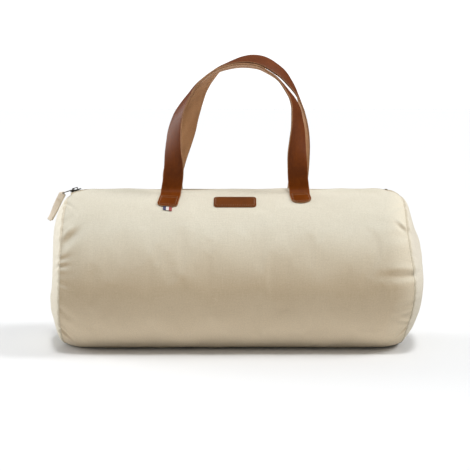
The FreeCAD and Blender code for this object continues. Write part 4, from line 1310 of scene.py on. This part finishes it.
def strap_section():
    """Ring of (across, share of half thickness, slot): grain, edge, flesh, edge."""
    across = np.linspace(-1, 1, 13) * (HALF_W - 0.55)
    ring = [(w, 1, GRAIN) for w in across]
    ring += [(HALF_W, 0.45, EDGE), (HALF_W, -0.45, EDGE)]
    ring += [(w, -1, FLESH) for w in across[::-1]]
    ring += [(-HALF_W, -0.45, EDGE), (-HALF_W, 0.45, EDGE)]
    return ring


def round_corners(mesh, ring, widths, along, side):
    """Round the outline of the sewn ends; the front strap's right end is rounder."""
    total = along[-1]
    co = np.array([v.co for v in mesh.vertices]).reshape(len(along), len(ring), 3) / MM
    for i, at in enumerate(along):
        to_end = min(at, total - at)
        corner = 12.5 if side < 0 and at > total / 2 else 7.0
        if to_end < corner:
            cut = corner - math.sqrt(max(corner * corner - (corner - to_end) ** 2, 0))
            limit = HALF_W - cut
            for j, (w, _, _) in enumerate(ring):
                if abs(w) > limit:
                    co[i, j] -= widths[i] * (w - math.copysign(limit, w)) * 0.98
    mesh.vertices.foreach_set("co", (co * MM).ravel())
    mesh.update()


def make_strap(face, stations, side):
    """One strip of leather: sewn end, fold, arch, fold, sewn end. Side -1 is the front."""
    points, normals, widths, along = path = strap_path(stations, side)
    to_end = np.minimum(along, along[-1] - along)
    arch_share = smooth((to_end - 32) / 40)
    ring = strap_section()
    strap_waves = waves(11 + side, 6, 0.02, 0.06)
    verts = []
    uvs = []
    for i in range(len(points)):
        cup = 0.9 * arch_share[i]
        wobble = 0.35 * arch_share[i] * wave_noise(strap_waves, along[i], 0.0)
        for w, share, _ in ring:
            e = abs(w) / HALF_W
            off = HALF_T * share * (1 - 0.10 * e**6)
            off = off - cup * (e * e - 0.4) + wobble * (w / HALF_W)
            verts.append(points[i] + widths[i] * w + normals[i] * off)
            uvs.append((w, to_end[i]))  # both sewn ends start at 0
    size = len(ring)
    faces = grid_faces(len(points), size, wrap=True)
    row_slots = [a[2] if a[2] == b[2] else EDGE for a, b in zip(ring, ring[1:] + ring[:1])]
    slots = row_slots * (len(points) - 1) + [EDGE, EDGE]
    faces.append(tuple(range(size))[::-1])
    faces.append(tuple((len(points) - 1) * size + j for j in range(size)))
    handle = face + "_handle"
    ob = mesh_object(handle, verts, faces, uvs, [leather, flesh, edge], slots)
    round_corners(ob.data, ring, widths, along, side)
    bm = bmesh.new()
    bm.from_mesh(ob.data)
    bmesh.ops.recalc_face_normals(bm, faces=bm.faces)
    bm.to_mesh(ob.data)
    bm.free()
    soft_edges(ob, 0.35, angle_deg=38)
    apply_mods(ob)
    ob.data.polygons.foreach_set("use_smooth", [True] * len(ob.data.polygons))
    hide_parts(handle + "_strap", handle + "_foot_left", handle + "_foot_right")
    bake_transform(ob)
    return path


def make_foot_stitches(face, path):
    """On each sewn end: a rounded box of stitches and one line across."""
    box_w, box_l = 23.6, 22.6
    points, normals, widths, along = path
    from_right = (along[-1] - along)[::-1]
    runs = []
    for rows, key in (
        ((points, normals, widths), along),
        ((points[::-1], normals[::-1], widths[::-1]), from_right),
    ):

        def on_strap(distance, across):
            p, n, w = (
                np.stack([np.interp(distance, key, row[:, k]) for k in range(3)], -1)
                for row in rows
            )
            return p + w * across[:, None] + n * HALF_T, n

        box = rounded_path(box_w, box_l, 1.2, corner_steps=4)
        runs.append(on_strap(3.2 + box_l / 2 + box[:, 1], box[:, 0]))
        across = np.linspace(-box_w / 2, box_w / 2, 24)
        runs.append(on_strap(np.full_like(across, 21.0), across))
    make_stitches(face + "_foot_stitching", face + "_handle_stitching", runs, thread_tan,
                  pitch=3.2, gap=0.9, radius=0.33)


front_path = make_strap("front", FRONT_STATIONS, -1)
rear_path = make_strap("rear", REAR_STATIONS, 1)
make_foot_stitches("front", front_path)
make_foot_stitches("rear", rear_path)


# ---------------------------------------------------------------- ribbon tab
def make_ribbon():
    (x0, _, _), (x1, _, _) = box_mm("ribbon_tag")
    width = x1 - x0
    nx, ny = 19, 15
    top, bottom = math.radians(90 - 58.2), math.radians(90 - 52.9)
    x, ang = np.meshgrid(
        np.linspace(-width / 2, width / 2, nx), np.linspace(bottom, top, ny), indexing="ij"
    )
    down = (ang - top) / (bottom - top)  # 0 at the upper edge, 1 at the lower
    r = BARREL_R + 0.75 + 0.5 * down**2 + 0.18 * np.sin(x * 0.7 + 1.0) * down
    ang = ang + (x / width + 0.1) * 0.014 * (1 + 0.6 * down)  # hangs slightly askew
    points = np.stack(
        [(x0 + x1) / 2 + x + 0.4 * down, -r * np.sin(ang), AXIS_Z + r * np.cos(ang)], -1
    )
    uvs = np.stack([(x + width / 2) / width, (1 - down) * 11.0], -1).reshape(-1, 2)
    ob = mesh_object("ribbon_tab", points.reshape(-1, 3), grid_faces(nx, ny), uvs, [ribbon])
    thicken(ob, 0.55)
    attach(ob, "ribbon", "ribbon_tag")


make_ribbon()

# ---------------------------------------------------------------- fabric pull
# A strip folded over the puller's bar, hanging over the left end.
joints = {joint["name"]: joint for joint in frame["joints"]}
PULL_BAR = np.array(joints["pull_tape_swing"]["pos_m"]) / MM
PULL_A = math.radians(64.0)  # how steeply it hangs
PULL_DOWN = np.array([-math.cos(PULL_A), 0, -math.sin(PULL_A)])
PULL_OUT = np.array([-math.sin(PULL_A), 0, math.cos(PULL_A)])
ALONG_Y = np.array([0, 1, 0])


def pull_point(s, w, layer):
    """Point s down the strip and w across; layer +1 is outside, -1 the bag side."""
    twist = math.radians(70) * smooth((s + 5.0) / 8.0)
    twist = twist - math.radians(26) * smooth((s - 16) / 32.0)
    half = 3.3 + 1.8 * smooth(s / 1.8) - 0.6 * smooth((s - 18) / 30)
    gap = 1.25 - 0.45 * smooth(s / 12.0) + 0.35 * smooth((s - 30) / 17)
    cos, sin = math.cos(twist), math.sin(twist)
    across = ALONG_Y * cos + PULL_OUT * sin
    face = PULL_OUT * cos - ALONG_Y * sin
    bow = 0.5 * math.sin(s * 0.12) + 1.2 * (s / 47.0) ** 2
    off = layer * gap + 0.45 * (1 - w * w)
    return PULL_BAR + PULL_DOWN * s + across * (w * half) + face * off + PULL_OUT * bow


def bend_point(share, w):
    """Point of the half turn round the bar."""
    a = math.pi * share
    radial = -PULL_DOWN * math.sin(a) * 1.35 + PULL_OUT * math.cos(a) * 1.35
    return PULL_BAR + radial + ALONG_Y * w * 3.1


def make_pull():
    steps = 40
    across = np.linspace(-1, 1, 11)
    # (points of a row, its V coordinate): up the outside, round the bar, down the inside
    rows = [([pull_point(s, w, 1) for w in across], s) for s in np.linspace(46.5, 0.8, steps)]
    rows += [([bend_point(q, w) for w in across], -q * 4) for q in np.linspace(0.12, 0.88, 8)]
    rows += [
        ([pull_point(s, w, -1) for w in across], -4 - s) for s in np.linspace(0.8, 44.6, steps)
    ]
    verts = np.array([points for points, _ in rows]).reshape(-1, 3)
    uvs = [(w * 5.5, v) for _, v in rows for w in across]
    ob = mesh_object("fabric_pull", verts, grid_faces(len(rows), 11), uvs, [canvas_pull])
    thicken(ob, 0.95)
    attach(ob, "canvas", "pull_tape", rides="pull_tape")

    runs = []
    for s in (11.5, 13.4):
        line = np.array([pull_point(s, w, 1) for w in np.linspace(-0.85, 0.85, 12)])
        normal = unit(np.cross(line[-1] - line[0], PULL_DOWN))
        if normal[1] > 0:
            normal = -normal
        runs.append((line + normal * 0.5, np.tile(normal, (12, 1))))
    make_stitches("fabric_pull_stitching", "pull_tape_stitching", runs, thread_pale,
                  pitch=2.6, gap=0.6, radius=0.28, rides="pull_tape")


make_pull()

# ---------------------------------------------------------------- pieces kept from the CAD
# node, material, width of the softened edges
KEPT = [
    ("zip_tape_front", zip_tape, 0),
    ("zip_tape_rear", zip_tape, 0),
    ("zip_teeth_front", tooth_metal, 0.12),
    ("zip_teeth_rear", tooth_metal, 0.12),
    ("zip_top_stops", tooth_metal, 0.15),
    ("zip_bottom_stop", tooth_metal, 0.15),
    ("zip_slider", slider_metal, 0.28),
    ("zip_puller", puller_metal, 0.22),
    ("seam_binding_left", binding_tape, 0),
    ("seam_binding_right", binding_tape, 0),
    ("end_seam_stitching_left", thread_pale, 0),
    ("end_seam_stitching_right", thread_pale, 0),
    ("handle_backing_patches", backing, 0),
]
for node_name, material, edge_width in KEPT:
    piece = frame["nodes"][node_name]
    piece.data.materials.clear()
    piece.data.materials.append(material)
    if edge_width:
        soft_edges(piece, edge_width)


# ---------------------------------------------------------------- studio
def floor_material():
    """Pale to the camera, dark in reflections."""
    mat = Shader("studio_floor")
    cloud = mat.noise(mat.object_m(), scale=3.0, detail=3.0)
    rays = mat.node("ShaderNodeLightPath").outputs
    lit = mat.mix(cloud, (205, 203, 199), (211, 209, 205))
    pale = mat.mix(rays["Is Camera Ray"], lit, (216, 217, 218))
    return mat.finish(
        Base_Color=mat.mix(rays["Is Glossy Ray"], pale, (84, 82, 78)),
        Roughness=0.85,
        Specular_IOR_Level=0.1,
        Emission_Color=(1, 1, 1, 1),
        Emission_Strength=mat.times(rays["Is Camera Ray"], 0.0),  # 0: no glow
    )


def make_floor():
    material = floor_material()
    bpy.ops.mesh.primitive_plane_add(size=60, location=(0, 24, 0))
    floor = bpy.context.active_object
    floor.name = "studio_floor"
    floor.data.materials.append(material)


def make_world():
    """White to the camera; otherwise a dome brighter overhead, dimmer in reflections."""
    world = bpy.data.worlds.new("studio")
    bpy.context.scene.world = world
    world.use_nodes = True
    tree = Nodes(world.node_tree)
    output = tree.node("ShaderNodeOutputWorld")
    rays = tree.node("ShaderNodeLightPath").outputs
    height = tree.split(tree.node("ShaderNodeTexCoord").outputs["Generated"])[2]
    dome = tree.fit(height, (0.05, 0.75), to=(0.10, 0.62), mode="SMOOTHSTEP")
    dimmer = tree.fit(rays["Is Glossy Ray"], (0.0, 1.0), to=(1.0, 0.4))
    mix = tree.node("ShaderNodeMixShader")
    tree.link(rays["Is Camera Ray"], mix.inputs[0])
    for socket, strength in zip(mix.inputs[1:], (tree.times(dome, dimmer), 1.2)):
        background = tree.node("ShaderNodeBackground")
        background.inputs[0].default_value = (1, 1, 1, 1)
        tree.put(background.inputs[1], strength)
        tree.link(background.outputs[0], socket)
    tree.link(mix.outputs[0], output.inputs[0])


# name, direction to the light, strength, angular size (deg)
SUNS = [
    ("top_front", (0.06, -0.34, 0.93), 1.7, 10),
    ("right_key", (0.69, -0.09, 0.72), 1.42, 20),
    ("left_back", (-0.86, 0.36, 0.3), 1.3, 26),
    ("left_low", (-0.97, -0.16, 0.02), 0.9, 40),
    ("right_low", (0.97, -0.16, 0.1), 0.22, 34),
]


def make_sun(name, to_light, strength, angle_deg):
    light = bpy.data.lights.new(name, "SUN")
    light.energy = strength
    light.angle = math.radians(angle_deg)
    ob = bpy.data.objects.new(name, light)
    bpy.context.scene.collection.objects.link(ob)
    ob.rotation_euler = Vector(to_light).to_track_quat("Z", "Y").to_euler()


def make_camera():
    """In front of the bag, looking slightly down."""
    scene = bpy.context.scene
    lens = bpy.data.cameras.new("camera")
    lens.sensor_width = 36.0
    lens.lens = 83.412766
    lens.clip_end = 60
    camera = bpy.data.objects.new("camera", lens)
    scene.collection.objects.link(camera)
    camera.location = (0, -1.6377, 0.36538)
    camera.rotation_euler = (math.radians(83.0), 0, 0)
    scene.camera = camera
    scene.view_settings.view_transform = "Standard"
    scene.view_settings.look = "None"


make_floor()
make_world()
for sun in SUNS:
    make_sun(*sun)
make_camera()
